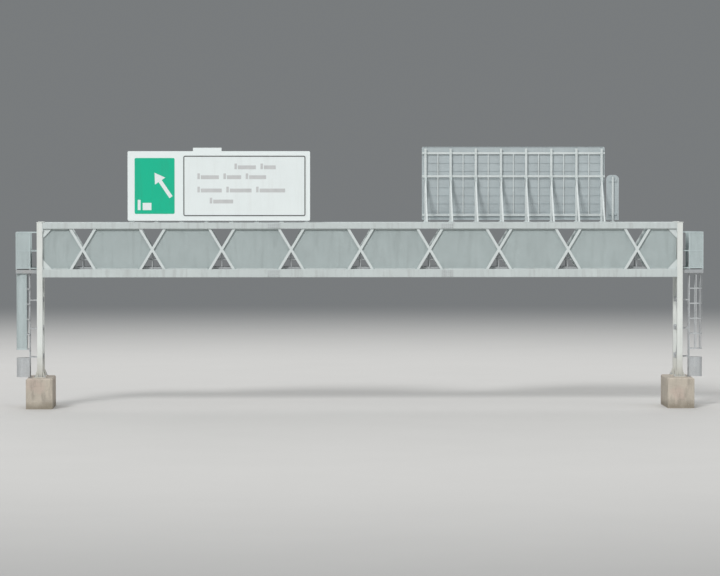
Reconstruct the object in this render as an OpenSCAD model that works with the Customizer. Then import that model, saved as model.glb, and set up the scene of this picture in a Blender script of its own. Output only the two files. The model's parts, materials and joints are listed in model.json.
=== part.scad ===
// Overhead sign gantry for a dual carriageway: paired legs on concrete plinths carry a
// box boom with a walkway inside it, and two signs stand above the boom.
// Millimetres. X runs across the road, -Y is the side towards the viewer, Z is up.
// The origin is on the ground at midspan.

/* [Portal] */
// Leg centre to leg centre across the road
span = 33800; // [31000:100:36000]
// Ground to the underside of the boom
headroom = 6900; // [5800:50:8000]
// Width and depth of a leg
leg_w = 300; // [280:10:400]
// Radius of the corners of the legs, chords and ties, which are hollow sections
tube_corner_r = 25; // [10:5:30]
// Thickness of the plate that caps a leg
leg_cap_t = 25; // [15:5:40]
// Overhang of the cap plate round the leg
leg_cap_lip = 20; // [10:5:30]
// Side of the base plate under a leg
base_plate_w = 600; // [600:10:720]
// Thickness of the base plate
base_plate_t = 40; // [25:5:60]
// Height of the gussets on the base plate
gusset_h = 300; // [200:10:400]
// Thickness of a gusset
gusset_t = 20; // [12:2:30]
// Distance of the gussets from the leg's centre line
gusset_offset = 110; // [90:5:130]

/* [Plinths] */
// Width of a plinth across the road
plinth_w = 1400; // [1000:50:1800]
// Length of a plinth along the road
plinth_d = 3600; // [3200:50:4400]
// Height of a plinth above the ground
plinth_h = 1600; // [1000:50:1800]
// Chamfer along the plinth's top edges
plinth_chamfer = 60; // [20:5:100]
// Thickness of the grout pad under a base plate
grout_t = 30; // [20:5:50]
// Lip of the grout pad round the base plate
grout_lip = 25; // [10:5:40]

/* [Boom] */
// Overall depth of the boom
boom_h = 2890; // [2500:10:3000]
// Front truss plane to rear truss plane
boom_w = 1900; // [1800:10:2200]
// Width of a chord
chord_w = 250; // [220:10:280]
// Height of a bottom chord
bottom_chord_h = 430; // [320:10:460]
// Height of a top chord
top_chord_h = 330; // [240:10:360]
// Distance from one crossed brace to the next
brace_pitch = 3660; // [3000:20:4200]
// Width of a crossed brace between the chord centre lines
brace_spread = 1500; // [1000:20:1600]
// Width of a brace bar in the plane of the truss
brace_bar_w = 130; // [100:5:160]
// Depth of a brace bar across the truss
brace_bar_d = 120; // [90:5:150]
// Least distance from a brace to the leg
brace_end_space = 600; // [500:20:1000]
// Thickness of the plates that end a chord at the leg
end_plate_t = 30; // [20:5:40]
// Length of an end plate past its chord
end_plate_past = 150; // [100:10:200]
// Leg of the triangular haunch plates at the boom's corners
haunch = 500; // [350:10:600]
// Thickness of a haunch plate
haunch_t = 30; // [16:2:40]
// Length of the cover plates over a chord's splice
splice_len = 640; // [500:20:800]
// Thickness of a cover plate
splice_t = 14; // [10:2:20]
// Edge of the chord left bare above and below a cover plate
splice_edge = 35; // [30:5:50]

/* [Floor and roof] */
// Width of a floor beam
floor_beam_w = 120; // [80:5:140]
// Height of a floor beam
floor_beam_h = 160; // [120:5:200]
// Width and height of a roof beam
roof_beam_w = 120; // [80:5:140]
// Width of a diagonal in the floor or the roof
plan_brace_w = 80; // [60:5:100]
// Height of a diagonal in the floor or the roof
plan_brace_h = 60; // [50:5:80]
// Top of the roof beams below the top of the boom
roof_drop = 30; // [0:5:60]
// Width of the walkway deck
deck_w = 1100; // [900:10:1100]
// Thickness of the deck grating
deck_t = 40; // [30:5:50]
// Joint between two deck panels
deck_joint = 10; // [5:1:20]
// Top of the deck below the top of the bottom chord
deck_drop = 30; // [10:5:50]

/* [Infill panels] */
// Thickness of a panel's sheet
infill_sheet_t = 8; // [5:1:12]
// Height of the angles behind a sheet
infill_rib_w = 50; // [40:5:60]
// Depth of the angles behind a sheet
infill_rib_d = 30; // [20:5:40]
// Distance from one upright angle to the next
infill_rib_pitch = 900; // [600:50:1200]
// Space between a panel's point and the crossing of the braces
infill_tip = 30; // [20:5:50]

/* [Guardrails] */
// Height of the top rail above the deck
rail_h = 1100; // [1000:10:1200]
// Diameter of the rails
rail_d = 48; // [42:1:60]
// Width of a stanchion
stanchion_w = 50; // [48:1:60]
// Space between the deck and the stanchions
rail_clear = 25; // [15:5:40]
// Height of the toe board
toe_h = 150; // [100:10:200]
// Thickness of the toe board
toe_t = 6; // [5:1:10]

/* [Leg ties] */
// Distance from one tie to the next
tie_pitch = 1500; // [1200:50:1700]
// Width and height of a tie
tie_w = 150; // [120:5:180]
// Width of the diagonals between ties
tie_brace_w = 90; // [70:5:110]
// Least height of the lowest tie above the plinth
tie_foot_space = 800; // [700:50:1000]

/* [Ladders] */
// Leg centre to the ladder's plane
ladder_reach = 550; // [450:10:650]
// Midspan plane of the boom to the ladder's centre line, towards the viewer
ladder_shift = 330; // [300:5:340]
// Clear width between the stiles
ladder_w = 440; // [400:10:460]
// Width of a stile along the span
stile_w = 60; // [50:5:70]
// Thickness of a stile
stile_t = 30; // [20:2:36]
// Diameter of a rung
rung_d = 25; // [20:1:30]
// Distance from one rung to the next
rung_pitch = 300; // [250:5:300]
// Top of the ladder above the deck
ladder_rise = 1100; // [900:10:1200]
// Width and height of a ladder bracket
bracket_w = 60; // [40:5:80]

/* [Ladder cages] */
// Radius of a cage inside its hoops
cage_r = 350; // [340:2:354]
// Thickness of a hoop
hoop_t = 8; // [6:1:10]
// Height of a hoop
hoop_h = 50; // [40:5:70]
// Distance from one hoop to the next
hoop_pitch = 750; // [600:50:1000]
// Lowest hoop above the ground
cage_foot = 3070; // [2850:10:3400]
// Thickness of the upright straps
strap_t = 8; // [6:1:10]
// Width of the upright straps
strap_w = 50; // [40:5:60]
// Space between the plinth and the guard round the ladder's lower end
guard_lift = 30; // [20:5:60]
// Height of that guard
guard_h = 1010; // [500:10:1100]
// Thickness of its sheet
guard_t = 6; // [4:1:7]
// Height of the bands at its top and foot
guard_band_h = 60; // [40:5:80]
// Thickness of the screen wrapped round the left cage
screen_t = 4; // [2:1:5]
// Height of the bands at the screen's top and foot
screen_band_h = 80; // [60:5:120]
// Ladder's plane to the upright edges of the screen
screen_start = 150; // [100:10:300]

/* [Landings] */
// Leg centre to the outer edge of a landing
landing_reach = 1270; // [1270:5:1400]
// Width of the frame bars under a landing
landing_bar_w = 80; // [60:5:80]
// Height of those frame bars
landing_bar_h = 150; // [100:5:160]
// Space between the hatch edge and the ladder's stiles
hatch_clear = 20; // [10:5:40]
// Height of the landing's enclosure above the deck
enclosure_h = 1990; // [1500:10:2100]
// Gap between a leg and the first post, which only the rails cross
enclosure_gap = 350; // [150:10:400]
// Length of a rail that lies against the leg
enclosure_lap = 120; // [60:10:150]
// Width of its posts and rails
enclosure_bar = 50; // [40:5:50]
// Thickness of its sheets
enclosure_sheet_t = 8; // [5:1:12]
// Space between the deck and the foot of a sheet
enclosure_lift = 60; // [50:5:100]

/* [Signs] */
// Width of the sign that faces the viewer
left_sign_w = 9600; // [8000:50:10400]
// Height of the sign that faces the viewer
left_sign_h = 3660; // [3200:10:4200]
// Left leg's centre line to the outer edge of that sign
left_sign_inset = 4635; // [4000:5:5000]
// Width of the sign that faces away
right_sign_w = 9760; // [8000:50:10400]
// Height of the sign that faces away
right_sign_h = 3900; // [3200:10:4200]
// Right leg's centre line to the outer edge of that sign
right_sign_inset = 3810; // [3600:5:5000]
// Foot of a sign above the boom
sign_lift = 100; // [60:5:200]
// Thickness of a sign's face plate
sign_plate_t = 10; // [6:1:16]
// Depth of the ribs behind the face plate
sign_rib_d = 30; // [20:2:40]
// Thickness of a rib
sign_rib_t = 12; // [8:1:20]
// Height of one plank of the face
plank_h = 470; // [300:10:600]
// Radius of a sign's corners
sign_corner_r = 75; // [40:5:120]
// Width of the tab on top of the sign that faces the viewer
tab_w = 1500; // [1000:50:2000]
// Height of that tab
tab_h = 180; // [100:10:250]
// Centre of the tab from the sign's centre
tab_x = -610; // [-1500:10:1500]

/* [Sign panels] */
// Thickness of the coloured panels
panel_t = 6; // [4:1:8]
// Edge of the sign left plain round the panels
panel_edge = 370; // [200:10:400]
// Width of the green panel
green_w = 2100; // [1500:50:2600]
// Edge of the sign left plain above and below the green panel
green_edge = 360; // [200:10:500]
// Space between the green and the white panel
panel_gap = 400; // [200:10:500]
// Edge of the sign left plain above and below the white panel
white_edge = 180; // [100:10:300]

/* [Sign supports] */
// Distance from one sign post to the next, at most
post_pitch = 1400; // [1200:50:1800]
// Outer post's centre from the edge of the sign
post_edge = 180; // [120:10:300]
// Width and depth of a post
post_w = 120; // [90:5:140]
// Top of a post below the top of the sign
post_top = 100; // [50:10:200]
// Side of a post's foot plate
foot_w = 240; // [190:5:300]
// Thickness of a foot plate
foot_t = 25; // [15:5:40]
// Height at which a strut meets the post, above the boom
strut_h = 2300; // [1800:50:2800]
// Width and height of a strut
strut_w = 90; // [70:5:110]
// Depth of the rails behind a sign
rail_frame_d = 60; // [40:5:80]
// Height of the rails behind a sign
rail_frame_h = 120; // [60:5:140]
// Low rail above the sign's foot
low_rail = 260; // [100:10:400]
// Middle rail above the sign's foot
mid_rail = 2330; // [1500:10:2600]
// Top rail below the sign's top
top_rail = 340; // [200:10:400]
// Width of the light uprights between the posts
stiffener_w = 50; // [40:5:70]

/* [Side panel] */
// Width of the narrow panel beside the right sign
side_w = 680; // [600:10:800]
// Height of the narrow panel
side_h = 2400; // [1800:50:2600]
// Space between the right sign and the narrow panel
side_gap = 80; // [40:5:120]
// Radius of its upper corners
side_corner_r = 240; // [100:10:280]
// Thickness of its plate
side_t = 10; // [6:1:16]
// Width of its post
side_post_w = 100; // [80:5:120]

/* [Hidden] */

LEFT = -1;
RIGHT = 1;
FRONT = -1;
REAR = 1;
// A cut reaches this far past the surface it cuts
cut = 1;
// How far fused bars run into each other
weld = 2;
// Play between a bent sheet and the hoops that carry it
bend_play = 0.3;

leg_x = span / 2;
truss_y = boom_w / 2;
boom_top = headroom + boom_h;
leg_foot_z = plinth_h + grout_t;
leg_in_x = leg_x - leg_w / 2;
leg_out_x = leg_x + leg_w / 2;
leg_in_y = truss_y - leg_w / 2;

// Chords and crossed braces
low_line_z = headroom + bottom_chord_h / 2;
high_line_z = boom_top - top_chord_h / 2;
cross_z = (low_line_z + high_line_z) / 2;
web_low_z = headroom + bottom_chord_h;
web_high_z = boom_top - top_chord_h;
brace_lean = brace_spread / (high_line_z - low_line_z);
braces_a_side = floor((leg_in_x - brace_end_space - brace_spread / 2) / brace_pitch);
brace_xs = [for (i = [-braces_a_side:braces_a_side]) i * brace_pitch];
chord_in_y = truss_y - chord_w / 2;
brace_in_y = truss_y - brace_bar_d / 2;
// The boom comes in three lengths, joined between the second and third crossings
splice_x = 1.25 * brace_pitch;

// Floor and roof
beam_pitch = brace_pitch / 2;
beams_a_side = floor((leg_in_x - end_plate_t - floor_beam_w) / beam_pitch);
beam_xs = [for (i = [-beams_a_side:beams_a_side]) i * beam_pitch];
deck_top_z = web_low_z - deck_drop;
deck_z = deck_top_z - deck_t;
beam_z = deck_z - floor_beam_h;
roof_z = boom_top - roof_drop - roof_beam_w;

// Ties between a front and a rear leg
end_tie_z = deck_z - tie_w;
ties = floor((end_tie_z - plinth_h - tie_foot_space) / tie_pitch);
tie_zs = [for (i = [0:ties]) end_tie_z - i * tie_pitch];

// Ladder, cage and landing, on the right end
ladder_x = leg_x + ladder_reach;
ladder_y = -ladder_shift;
stile_y = ladder_w / 2 + stile_t / 2;
ladder_top_z = deck_top_z + ladder_rise;
rungs = floor((ladder_top_z - plinth_h - rung_pitch) / rung_pitch);
cage_axis_x = ladder_x + cage_r;
landing_x = leg_x + landing_reach;
landing_bar_z = deck_z - landing_bar_h;
cage_top_z = landing_bar_z - hoop_h;
hoop_count = floor((cage_top_z - cage_foot) / hoop_pitch);
hoop_step = (cage_top_z - cage_foot) / hoop_count;
hatch_x = ladder_x - stile_w / 2 - hatch_clear;
hatch_low_y = ladder_y - cage_r;
hatch_high_y = ladder_y + cage_r;

// Signs
left_sign_x = -leg_x + left_sign_inset + left_sign_w / 2;
right_sign_x = leg_x - right_sign_inset - right_sign_w / 2;
post_out_y = truss_y + post_w / 2;
frame_out_y = post_out_y + rail_frame_d;
plate_in_y = frame_out_y + sign_rib_d;
face_out_y = plate_in_y + sign_plate_t;
side_x = leg_x - right_sign_inset + side_gap + side_w / 2;
sign_foot_z = boom_top + sign_lift;

steel = [0.74, 0.77, 0.78];
pale_steel = [0.86, 0.88, 0.87];
infill_grey = [0.66, 0.69, 0.69];
concrete = [0.76, 0.72, 0.63];
aluminium = [0.70, 0.73, 0.74];
white_face = [0.94, 0.95, 0.95];
green_face = [0.05, 0.50, 0.33];

// The right end is drawn and the left end is its mirror image
module at_end(side) {
    if (side == LEFT) mirror([1, 0, 0]) children();
    else children();
}

// The front is drawn and the rear is its mirror image
module at_face(face) {
    if (face == REAR) mirror([0, 1, 0]) children();
    else children();
}

// A rectangle with round corners, its lower left corner at the origin
module round_plate(w, h, r) {
    translate([r, 0]) square([w - 2 * r, h]);
    translate([0, r]) square([w, h - 2 * r]);
    for (x = [r, w - r], y = [r, h - r]) translate([x, y]) circle(r = r, $fn = 32);
}

// Section of a tube, centred on the origin
module tube_outline(w, h) {
    translate([-w / 2, -h / 2]) round_plate(w, h, tube_corner_r);
}

// A tube along X with its middle at x, y, that stands on z
module tube_x(x, y, z, length, w, h) {
    translate([x - length / 2, y, z + h / 2])
        rotate([90, 0, 90]) linear_extrude(length) tube_outline(w, h);
}

// A tube along Y with its middle at x and Y = 0, that stands on z
module tube_y(x, z, length, w, h) {
    translate([x, length / 2, z + h / 2])
        rotate([90, 0, 0]) linear_extrude(length) tube_outline(w, h);
}

// A bar in a plane of constant Y, from point a to point b, each [x, z]
module bar_xz(a, b, y, w, d) {
    run = b - a;
    translate([a[0], y, a[1]])
        rotate([0, -atan2(run[1], run[0]), 0])
            translate([0, -d / 2, -w / 2]) cube([norm(run), d, w]);
}

// A bar in a plane of constant X, from point a to point b, each [y, z]
module bar_yz(a, b, x, w) {
    run = b - a;
    translate([x, a[0], a[1]])
        rotate([atan2(run[1], run[0]), 0, 0])
            translate([-w / 2, 0, -w / 2]) cube([w, norm(run), w]);
}

// A bar in a level plane, from point a to point b, each [x, y], standing on z
module bar_xy(a, b, z, w, h) {
    run = b - a;
    translate([a[0], a[1], z])
        rotate([0, 0, atan2(run[1], run[0])])
            translate([0, -w / 2, 0]) cube([norm(run), w, h]);
}

// A box centred on x and y that stands on z
module block(x, y, z, size) {
    translate([x - size[0] / 2, y - size[1] / 2, z]) cube(size);
}

// Outline of a plinth seen along one side, with its top edges chamfered
module plinth_outline(width) {
    half = width / 2;
    polygon([
        [-half, 0], [half, 0],
        [half, plinth_h - plinth_chamfer], [half - plinth_chamfer, plinth_h],
        [plinth_chamfer - half, plinth_h], [-half, plinth_h - plinth_chamfer]
    ]);
}

module plinth(side) {
    pad_w = base_plate_w + 2 * grout_lip;
    color(concrete) translate([side * leg_x, 0, 0]) union() {
        intersection() {
            translate([0, plinth_d / 2, 0]) rotate([90, 0, 0])
                linear_extrude(plinth_d) plinth_outline(plinth_w);
            translate([-plinth_w / 2, 0, 0]) rotate([90, 0, 90])
                linear_extrude(plinth_w) plinth_outline(plinth_d);
        }
        for (face = [FRONT, REAR])
            block(0, face * truss_y, plinth_h - weld, [pad_w, pad_w, grout_t + weld]);
    }
}

// Two upright triangular plates on each side of the leg's foot
module base_gussets() {
    reach = (base_plate_w - leg_w) / 2 - gusset_t;
    for (turn = [0:90:270], offset = [-gusset_offset, gusset_offset])
        rotate([0, 0, turn])
            translate([leg_w / 2, offset + gusset_t / 2, 0])
                rotate([90, 0, 0]) linear_extrude(gusset_t)
                    polygon([[-weld, -weld], [reach, -weld], [reach, 0],
                             [gusset_t, gusset_h], [-weld, gusset_h]]);
}

module leg(side, face) {
    cap_w = leg_w + 2 * leg_cap_lip;
    shaft_z = leg_foot_z + base_plate_t;
    color(pale_steel) translate([side * leg_x, face * truss_y, 0]) union() {
        block(0, 0, leg_foot_z, [base_plate_w, base_plate_w, base_plate_t]);
        translate([0, 0, leg_foot_z])
            linear_extrude(boom_top - leg_foot_z) tube_outline(leg_w, leg_w);
        block(0, 0, boom_top, [cap_w, cap_w, leg_cap_t]);
        translate([0, 0, shaft_z]) base_gussets();
    }
}

// Level ties between a front and a rear leg, with a zigzag of diagonals
module leg_ties(side) {
    color(steel) at_end(side) union() {
        for (z = tie_zs) tube_y(leg_x, z, 2 * leg_in_y, tie_w, tie_w);
        for (i = [0:ties - 1]) {
            hand = i % 2 == 0 ? 1 : -1;
            bar_yz([hand * (leg_in_y - tie_w), tie_zs[i + 1] + tie_w / 2],
                   [-hand * (leg_in_y - tie_w), tie_zs[i] + tie_w / 2], leg_x, tie_brace_w);
        }
    }
}

// One chord with the plates that bolt its ends to the legs
module chord(z, h, plate_z) {
    end_w = leg_w - 2 * leg_cap_lip;
    tube_x(0, -truss_y, z, 2 * leg_in_x, chord_w, h);
    for (side = [LEFT, RIGHT])
        block(side * (leg_in_x - end_plate_t / 2), -truss_y, plate_z,
              [end_plate_t, end_w, h + end_plate_past]);
    splices(z, h);
}

// Cover plates on both sides of a chord where two lengths of the boom join
module splices(z, h) {
    for (side = [LEFT, RIGHT], hand = [-1, 1])
        block(side * splice_x, hand * (chord_w + splice_t - weld) / 2 - truss_y,
              z + splice_edge, [splice_len, splice_t + weld, h - 2 * splice_edge]);
}

// Triangular plates that stiffen the four corners of a truss
module haunches() {
    for (side = [LEFT, RIGHT], up = [0, 1])
        translate([side * leg_in_x, -truss_y, up == 0 ? web_low_z : web_high_z])
            mirror([side == RIGHT ? 1 : 0, 0, 0]) mirror([0, 0, up])
                translate([0, haunch_t / 2, 0]) rotate([90, 0, 0])
                    linear_extrude(haunch_t)
                        polygon([[0, -weld], [haunch, -weld], [haunch, 0],
                                 [end_plate_t, haunch], [0, haunch]]);
}

module truss(face) {
    half = brace_spread / 2;
    color(pale_steel) at_face(face) union() {
        chord(headroom, bottom_chord_h, headroom);
        chord(web_high_z, top_chord_h, web_high_z - end_plate_past);
        haunches();
        for (x = brace_xs, hand = [-1, 1])
            bar_xz([x - hand * half, low_line_z], [x + hand * half, high_line_z],
                   -truss_y, brace_bar_w, brace_bar_d);
    }
}

// Diagonals from beam to beam, turned the other way in each bay
module plan_diagonals(z) {
    for (i = [0:len(beam_xs) - 2]) {
        hand = i % 2 == 0 ? 1 : -1;
        bar_xy([beam_xs[i], -hand * (chord_in_y - plan_brace_w)],
               [beam_xs[i + 1], hand * (chord_in_y - plan_brace_w)],
               z, plan_brace_w, plan_brace_h);
    }
}

module floor_beams() {
    color(steel) union() {
        for (x = beam_xs)
            block(x, 0, beam_z, [floor_beam_w, 2 * chord_in_y, floor_beam_h]);
        plan_diagonals(beam_z);
    }
}

module roof_bracing() {
    last_x = beam_xs[len(beam_xs) - 1];
    reach = chord_in_y - plan_brace_w;
    inset = leg_in_y - plan_brace_w;
    color(steel) union() {
        for (x = beam_xs)
            block(x, 0, roof_z, [roof_beam_w, 2 * chord_in_y, roof_beam_w]);
        plan_diagonals(roof_z);
        for (side = [LEFT, RIGHT]) at_end(side) {
            block(leg_x, 0, roof_z, [roof_beam_w, 2 * leg_in_y, roof_beam_w]);
            for (hand = [-1, 1])
                bar_xy([last_x, hand * inset], [leg_x, hand * inset],
                       roof_z, plan_brace_w, plan_brace_h);
        }
    }
}

// Grating panels that end over the beams, and one to the end tie at each end
module walkway_deck() {
    stops = concat([-leg_x], beam_xs, [leg_x]);
    color(steel)
        for (i = [0:len(stops) - 2])
            translate([stops[i] + deck_joint / 2, -deck_w / 2, deck_z])
                cube([stops[i + 1] - stops[i] - deck_joint, deck_w, deck_t]);
}

// Outline of the web between two crossings, along the centre lines of the braces
function web_outline(xa, xb) = [
    [xa + brace_lean * (cross_z - web_low_z), web_low_z],
    [xb - brace_lean * (cross_z - web_low_z), web_low_z],
    [xb - infill_tip, cross_z],
    [xb - brace_lean * (web_high_z - cross_z), web_high_z],
    [xa + brace_lean * (web_high_z - cross_z), web_high_z],
    [xa + infill_tip, cross_z]
];

// Outline of the web between the last crossing and the end plates
function end_outline(xa, xb) = [
    [xa + brace_lean * (cross_z - web_low_z), web_low_z],
    [xb, web_low_z], [xb, web_high_z],
    [xa + brace_lean * (web_high_z - cross_z), web_high_z],
    [xa + infill_tip, cross_z]
];

// A sheet with this outline, and angles behind it from xa to xb
module infill_panel(outline, xa, xb) {
    sheet_y = -brace_in_y + infill_sheet_t;
    web_h = web_high_z - web_low_z;
    ribs = floor((xb - xa) / infill_rib_pitch);
    pitch = (xb - xa - infill_rib_w) / ribs;
    translate([0, sheet_y, 0]) rotate([90, 0, 0])
        linear_extrude(infill_sheet_t) polygon(outline);
    for (z = [web_low_z, web_high_z - infill_rib_w])
        translate([xa, sheet_y - cut, z])
            cube([xb - xa, infill_rib_d + cut, infill_rib_w]);
    for (i = [0:ribs])
        translate([xa + i * pitch, sheet_y - cut, web_low_z])
            cube([infill_rib_w, infill_rib_d + cut, web_h]);
}

module infill(face) {
    inner = brace_lean * (cross_z - web_low_z);
    last_x = brace_xs[len(brace_xs) - 1];
    end_x = leg_in_x - end_plate_t;
    color(infill_grey) at_face(face) {
        for (i = [0:len(brace_xs) - 2])
            infill_panel(web_outline(brace_xs[i], brace_xs[i + 1]),
                         brace_xs[i] + inner, brace_xs[i + 1] - inner);
        for (side = [LEFT, RIGHT]) at_end(side)
            infill_panel(end_outline(last_x, end_x), last_x + inner, end_x);
    }
}

// Stanchions on the floor beams, two rails and a toe board
module guardrail(face) {
    y = -(deck_w / 2 + rail_clear + stanchion_w / 2);
    rail_x = beam_xs[len(beam_xs) - 1] + stanchion_w / 2;
    color(steel) at_face(face) union() {
        for (x = beam_xs)
            block(x, y, deck_z, [stanchion_w, stanchion_w, deck_t + rail_h - rail_d / 2]);
        for (share = [0.5, 1])
            translate([-rail_x, y, deck_top_z + share * rail_h - rail_d / 2])
                rotate([0, 90, 0]) cylinder(h = 2 * rail_x, d = rail_d, $fn = 16);
        translate([-rail_x, y + stanchion_w / 2 - cut, deck_top_z])
            cube([2 * rail_x, toe_t + cut, toe_h]);
    }
}

// Frame under the landing, and its grating with the hatch for the ladder
module landing(side) {
    start_x = leg_x + tie_w / 2;
    bar_y = leg_in_y - landing_bar_w / 2;
    color(steel) at_end(side) union() {
        for (hand = [-1, 1])
            translate([start_x, hand * bar_y - landing_bar_w / 2, landing_bar_z])
                cube([landing_x - start_x, landing_bar_w, landing_bar_h]);
        translate([landing_x - landing_bar_w, -bar_y, landing_bar_z])
            cube([landing_bar_w, 2 * bar_y, landing_bar_h]);
        translate([start_x, hatch_high_y, landing_bar_z])
            cube([landing_x - landing_bar_w - start_x + cut, landing_bar_w, landing_bar_h]);
        difference() {
            translate([leg_x + deck_joint / 2, -leg_in_y, deck_z - cut])
                cube([landing_x - leg_x - deck_joint / 2, 2 * leg_in_y, deck_t + cut]);
            translate([hatch_x, hatch_low_y, deck_z - 2 * cut])
                cube([landing_x - landing_bar_w - hatch_x, 2 * cage_r, deck_t + 4 * cut]);
            translate([leg_x, -leg_in_y - cut, deck_z - 2 * cut])
                cube([tie_w / 2, 2 * leg_in_y + 2 * cut, 2 * cut]);
        }
    }
}

// One framed sheet of the enclosure, drawn along X from the origin, whose rails run
// back past its first post by reach
module enclosure_side(length, reach) {
    sheet_y = (enclosure_bar - enclosure_sheet_t) / 2;
    for (x = [0, length - enclosure_bar])
        translate([x, 0, 0]) cube([enclosure_bar, enclosure_bar, enclosure_h]);
    for (z = [enclosure_lift, (enclosure_h - enclosure_bar) / 2, enclosure_h - enclosure_bar])
        translate([-reach, 0, z]) cube([length + reach, enclosure_bar, enclosure_bar]);
    translate([0, sheet_y, enclosure_lift])
        cube([length, enclosure_sheet_t, enclosure_h - enclosure_lift]);
}

module enclosure(side) {
    start_x = leg_out_x + enclosure_gap;
    length = landing_x - start_x;
    reach = enclosure_gap + enclosure_lap;
    color(infill_grey) at_end(side) translate([0, 0, deck_top_z]) union() {
        translate([start_x, -leg_in_y, 0]) enclosure_side(length, reach);
        translate([start_x, leg_in_y - enclosure_bar, 0]) enclosure_side(length, reach);
        translate([landing_x, -leg_in_y, 0]) rotate([0, 0, 90])
            enclosure_side(2 * leg_in_y, 0);
    }
}

// Stiles, rungs and the brackets that reach to the leg ties
module ladder(side) {
    bracket_x = leg_x + tie_w / 2;
    color(steel) at_end(side) translate([0, ladder_y, 0]) union() {
        for (hand = [-1, 1]) {
            block(ladder_x, hand * stile_y, plinth_h,
                  [stile_w, stile_t, ladder_top_z - plinth_h]);
            for (i = [1:ties])
                translate([bracket_x, hand * stile_y - stile_t / 2,
                           tie_zs[i] + (tie_w - bracket_w) / 2])
                    cube([ladder_x - bracket_x, stile_t, bracket_w]);
        }
        for (i = [0:rungs])
            translate([ladder_x, -stile_y, plinth_h + rung_pitch / 2 + i * rung_pitch])
                rotate([-90, 0, 0]) cylinder(h = 2 * stile_y, d = rung_d, $fn = 16);
    }
}

// Plan of the space inside a cage, grown all round by a wall
module cage_plan(wall) {
    translate([cage_axis_x, 0]) circle(r = cage_r + wall, $fn = 48);
    translate([ladder_x, -cage_r - wall]) square([cage_r, 2 * (cage_r + wall)]);
}

// Plan of a bent bar from one stile round to the other
module hoop_plan(wall) {
    difference() {
        cage_plan(wall);
        cage_plan(0);
        translate([ladder_x - cage_r, -cage_r]) square([cage_r, 2 * cage_r]);
    }
    for (hand = [-1, 1])
        translate([ladder_x, hand * (stile_y + stile_t / 2 + cage_r + wall) / 2])
            translate([0, -(cage_r + wall - stile_y - stile_t / 2) / 2])
                square([wall, cage_r + wall - stile_y - stile_t / 2]);
}

module ladder_cage(side) {
    straps_h = cage_top_z + hoop_h - cage_foot;
    color(steel) at_end(side) translate([0, ladder_y, cage_foot]) union() {
        for (i = [0:hoop_count])
            translate([0, 0, i * hoop_step]) linear_extrude(hoop_h) hoop_plan(hoop_t);
        for (turn = [-90:45:90])
            translate([cage_axis_x, 0, 0]) rotate([0, 0, turn])
                translate([cage_r - strap_t, -strap_w / 2, 0])
                    cube([strap_t + weld, strap_w, straps_h]);
    }
}

// Sheet guard round the ladder's lower end, with a band at its top and foot
module ladder_guard(side) {
    color(pale_steel) at_end(side) translate([0, ladder_y, plinth_h + guard_lift]) union() {
        linear_extrude(guard_h) hoop_plan(guard_t);
        for (z = [0, guard_h - guard_band_h])
            translate([0, 0, z]) linear_extrude(guard_band_h) hoop_plan(2 * guard_t);
    }
}

// Plan of a sheet of this thickness bent round the outside of the hoops
module screen_plan(sheet) {
    inner = hoop_t + bend_play;
    outer = inner + sheet;
    difference() {
        cage_plan(outer);
        cage_plan(inner);
        translate([ladder_x - cage_r, -cage_r - outer])
            square([cage_r + screen_start, 2 * (cage_r + outer)]);
    }
}

// Sheet that closes the cage above head height, with a band at its top and foot
module ladder_screen(side) {
    screen_h = landing_bar_z - cage_foot;
    color(infill_grey) at_end(side) translate([0, ladder_y, cage_foot]) union() {
        linear_extrude(screen_h) screen_plan(screen_t);
        for (z = [0, screen_h - screen_band_h])
            translate([0, 0, z]) linear_extrude(screen_band_h) screen_plan(2 * screen_t);
    }
}

// Places of the posts behind a sign of this width, from its centre
function post_xs(width) =
    let (row = width - 2 * post_edge, bays = ceil(row / post_pitch))
    [for (i = [0:bays]) i * row / bays - row / 2];

// A post on the front chord with a strut to the rear chord
module sign_post(height) {
    color(aluminium) union() {
        block(0, -truss_y, boom_top, [foot_w, foot_w, foot_t]);
        block(0, -truss_y, boom_top, [post_w, post_w, sign_lift + height - post_top]);
        block(0, truss_y, boom_top, [foot_w, foot_w, foot_t]);
        difference() {
            bar_yz([-truss_y, boom_top + strut_h], [truss_y, boom_top + foot_t / 2],
                   0, strut_w);
            block(0, truss_y, boom_top - foot_w, [foot_w, foot_w, foot_w]);
        }
    }
}

module sign_posts(face, x, width, height) {
    at_face(face) translate([x, 0, 0])
        for (post_x = post_xs(width)) translate([post_x, 0, 0]) sign_post(height);
}

// Rails across the posts and a light upright between each pair
module sign_frame(face, x, width, height) {
    places = post_xs(width);
    low_z = sign_foot_z + low_rail;
    high_z = sign_foot_z + height - top_rail;
    mid_z = sign_foot_z + mid_rail;
    color(aluminium) at_face(face) translate([x, -frame_out_y, 0]) union() {
        for (z = [low_z, mid_z, high_z])
            translate([-width / 2, 0, z - rail_frame_h / 2])
                cube([width, rail_frame_d, rail_frame_h]);
        for (i = [0:len(places) - 2])
            translate([(places[i] + places[i + 1] - stiffener_w) / 2, 0, low_z])
                cube([stiffener_w, rail_frame_d, high_z - low_z]);
    }
}

// Face of planks, with a rib behind each joint
module sign_face(face, x, width, height) {
    planks = ceil(height / plank_h);
    rib_span = width - 2 * sign_corner_r;
    color(aluminium) at_face(face) translate([x - width / 2, -plate_in_y, sign_foot_z]) union() {
        rotate([90, 0, 0]) linear_extrude(sign_plate_t) round_plate(width, height, sign_corner_r);
        for (i = [0:planks])
            translate([sign_corner_r, -cut, i * (height - sign_rib_t) / planks])
                cube([rib_span, sign_rib_d + cut, sign_rib_t]);
    }
}

// Tab that stands above the top edge of the left sign's face
module sign_tab() {
    color(aluminium)
        translate([left_sign_x + tab_x - tab_w / 2, -face_out_y, sign_foot_z + left_sign_h - weld])
            cube([tab_w, sign_plate_t, tab_h + weld]);
}

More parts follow.
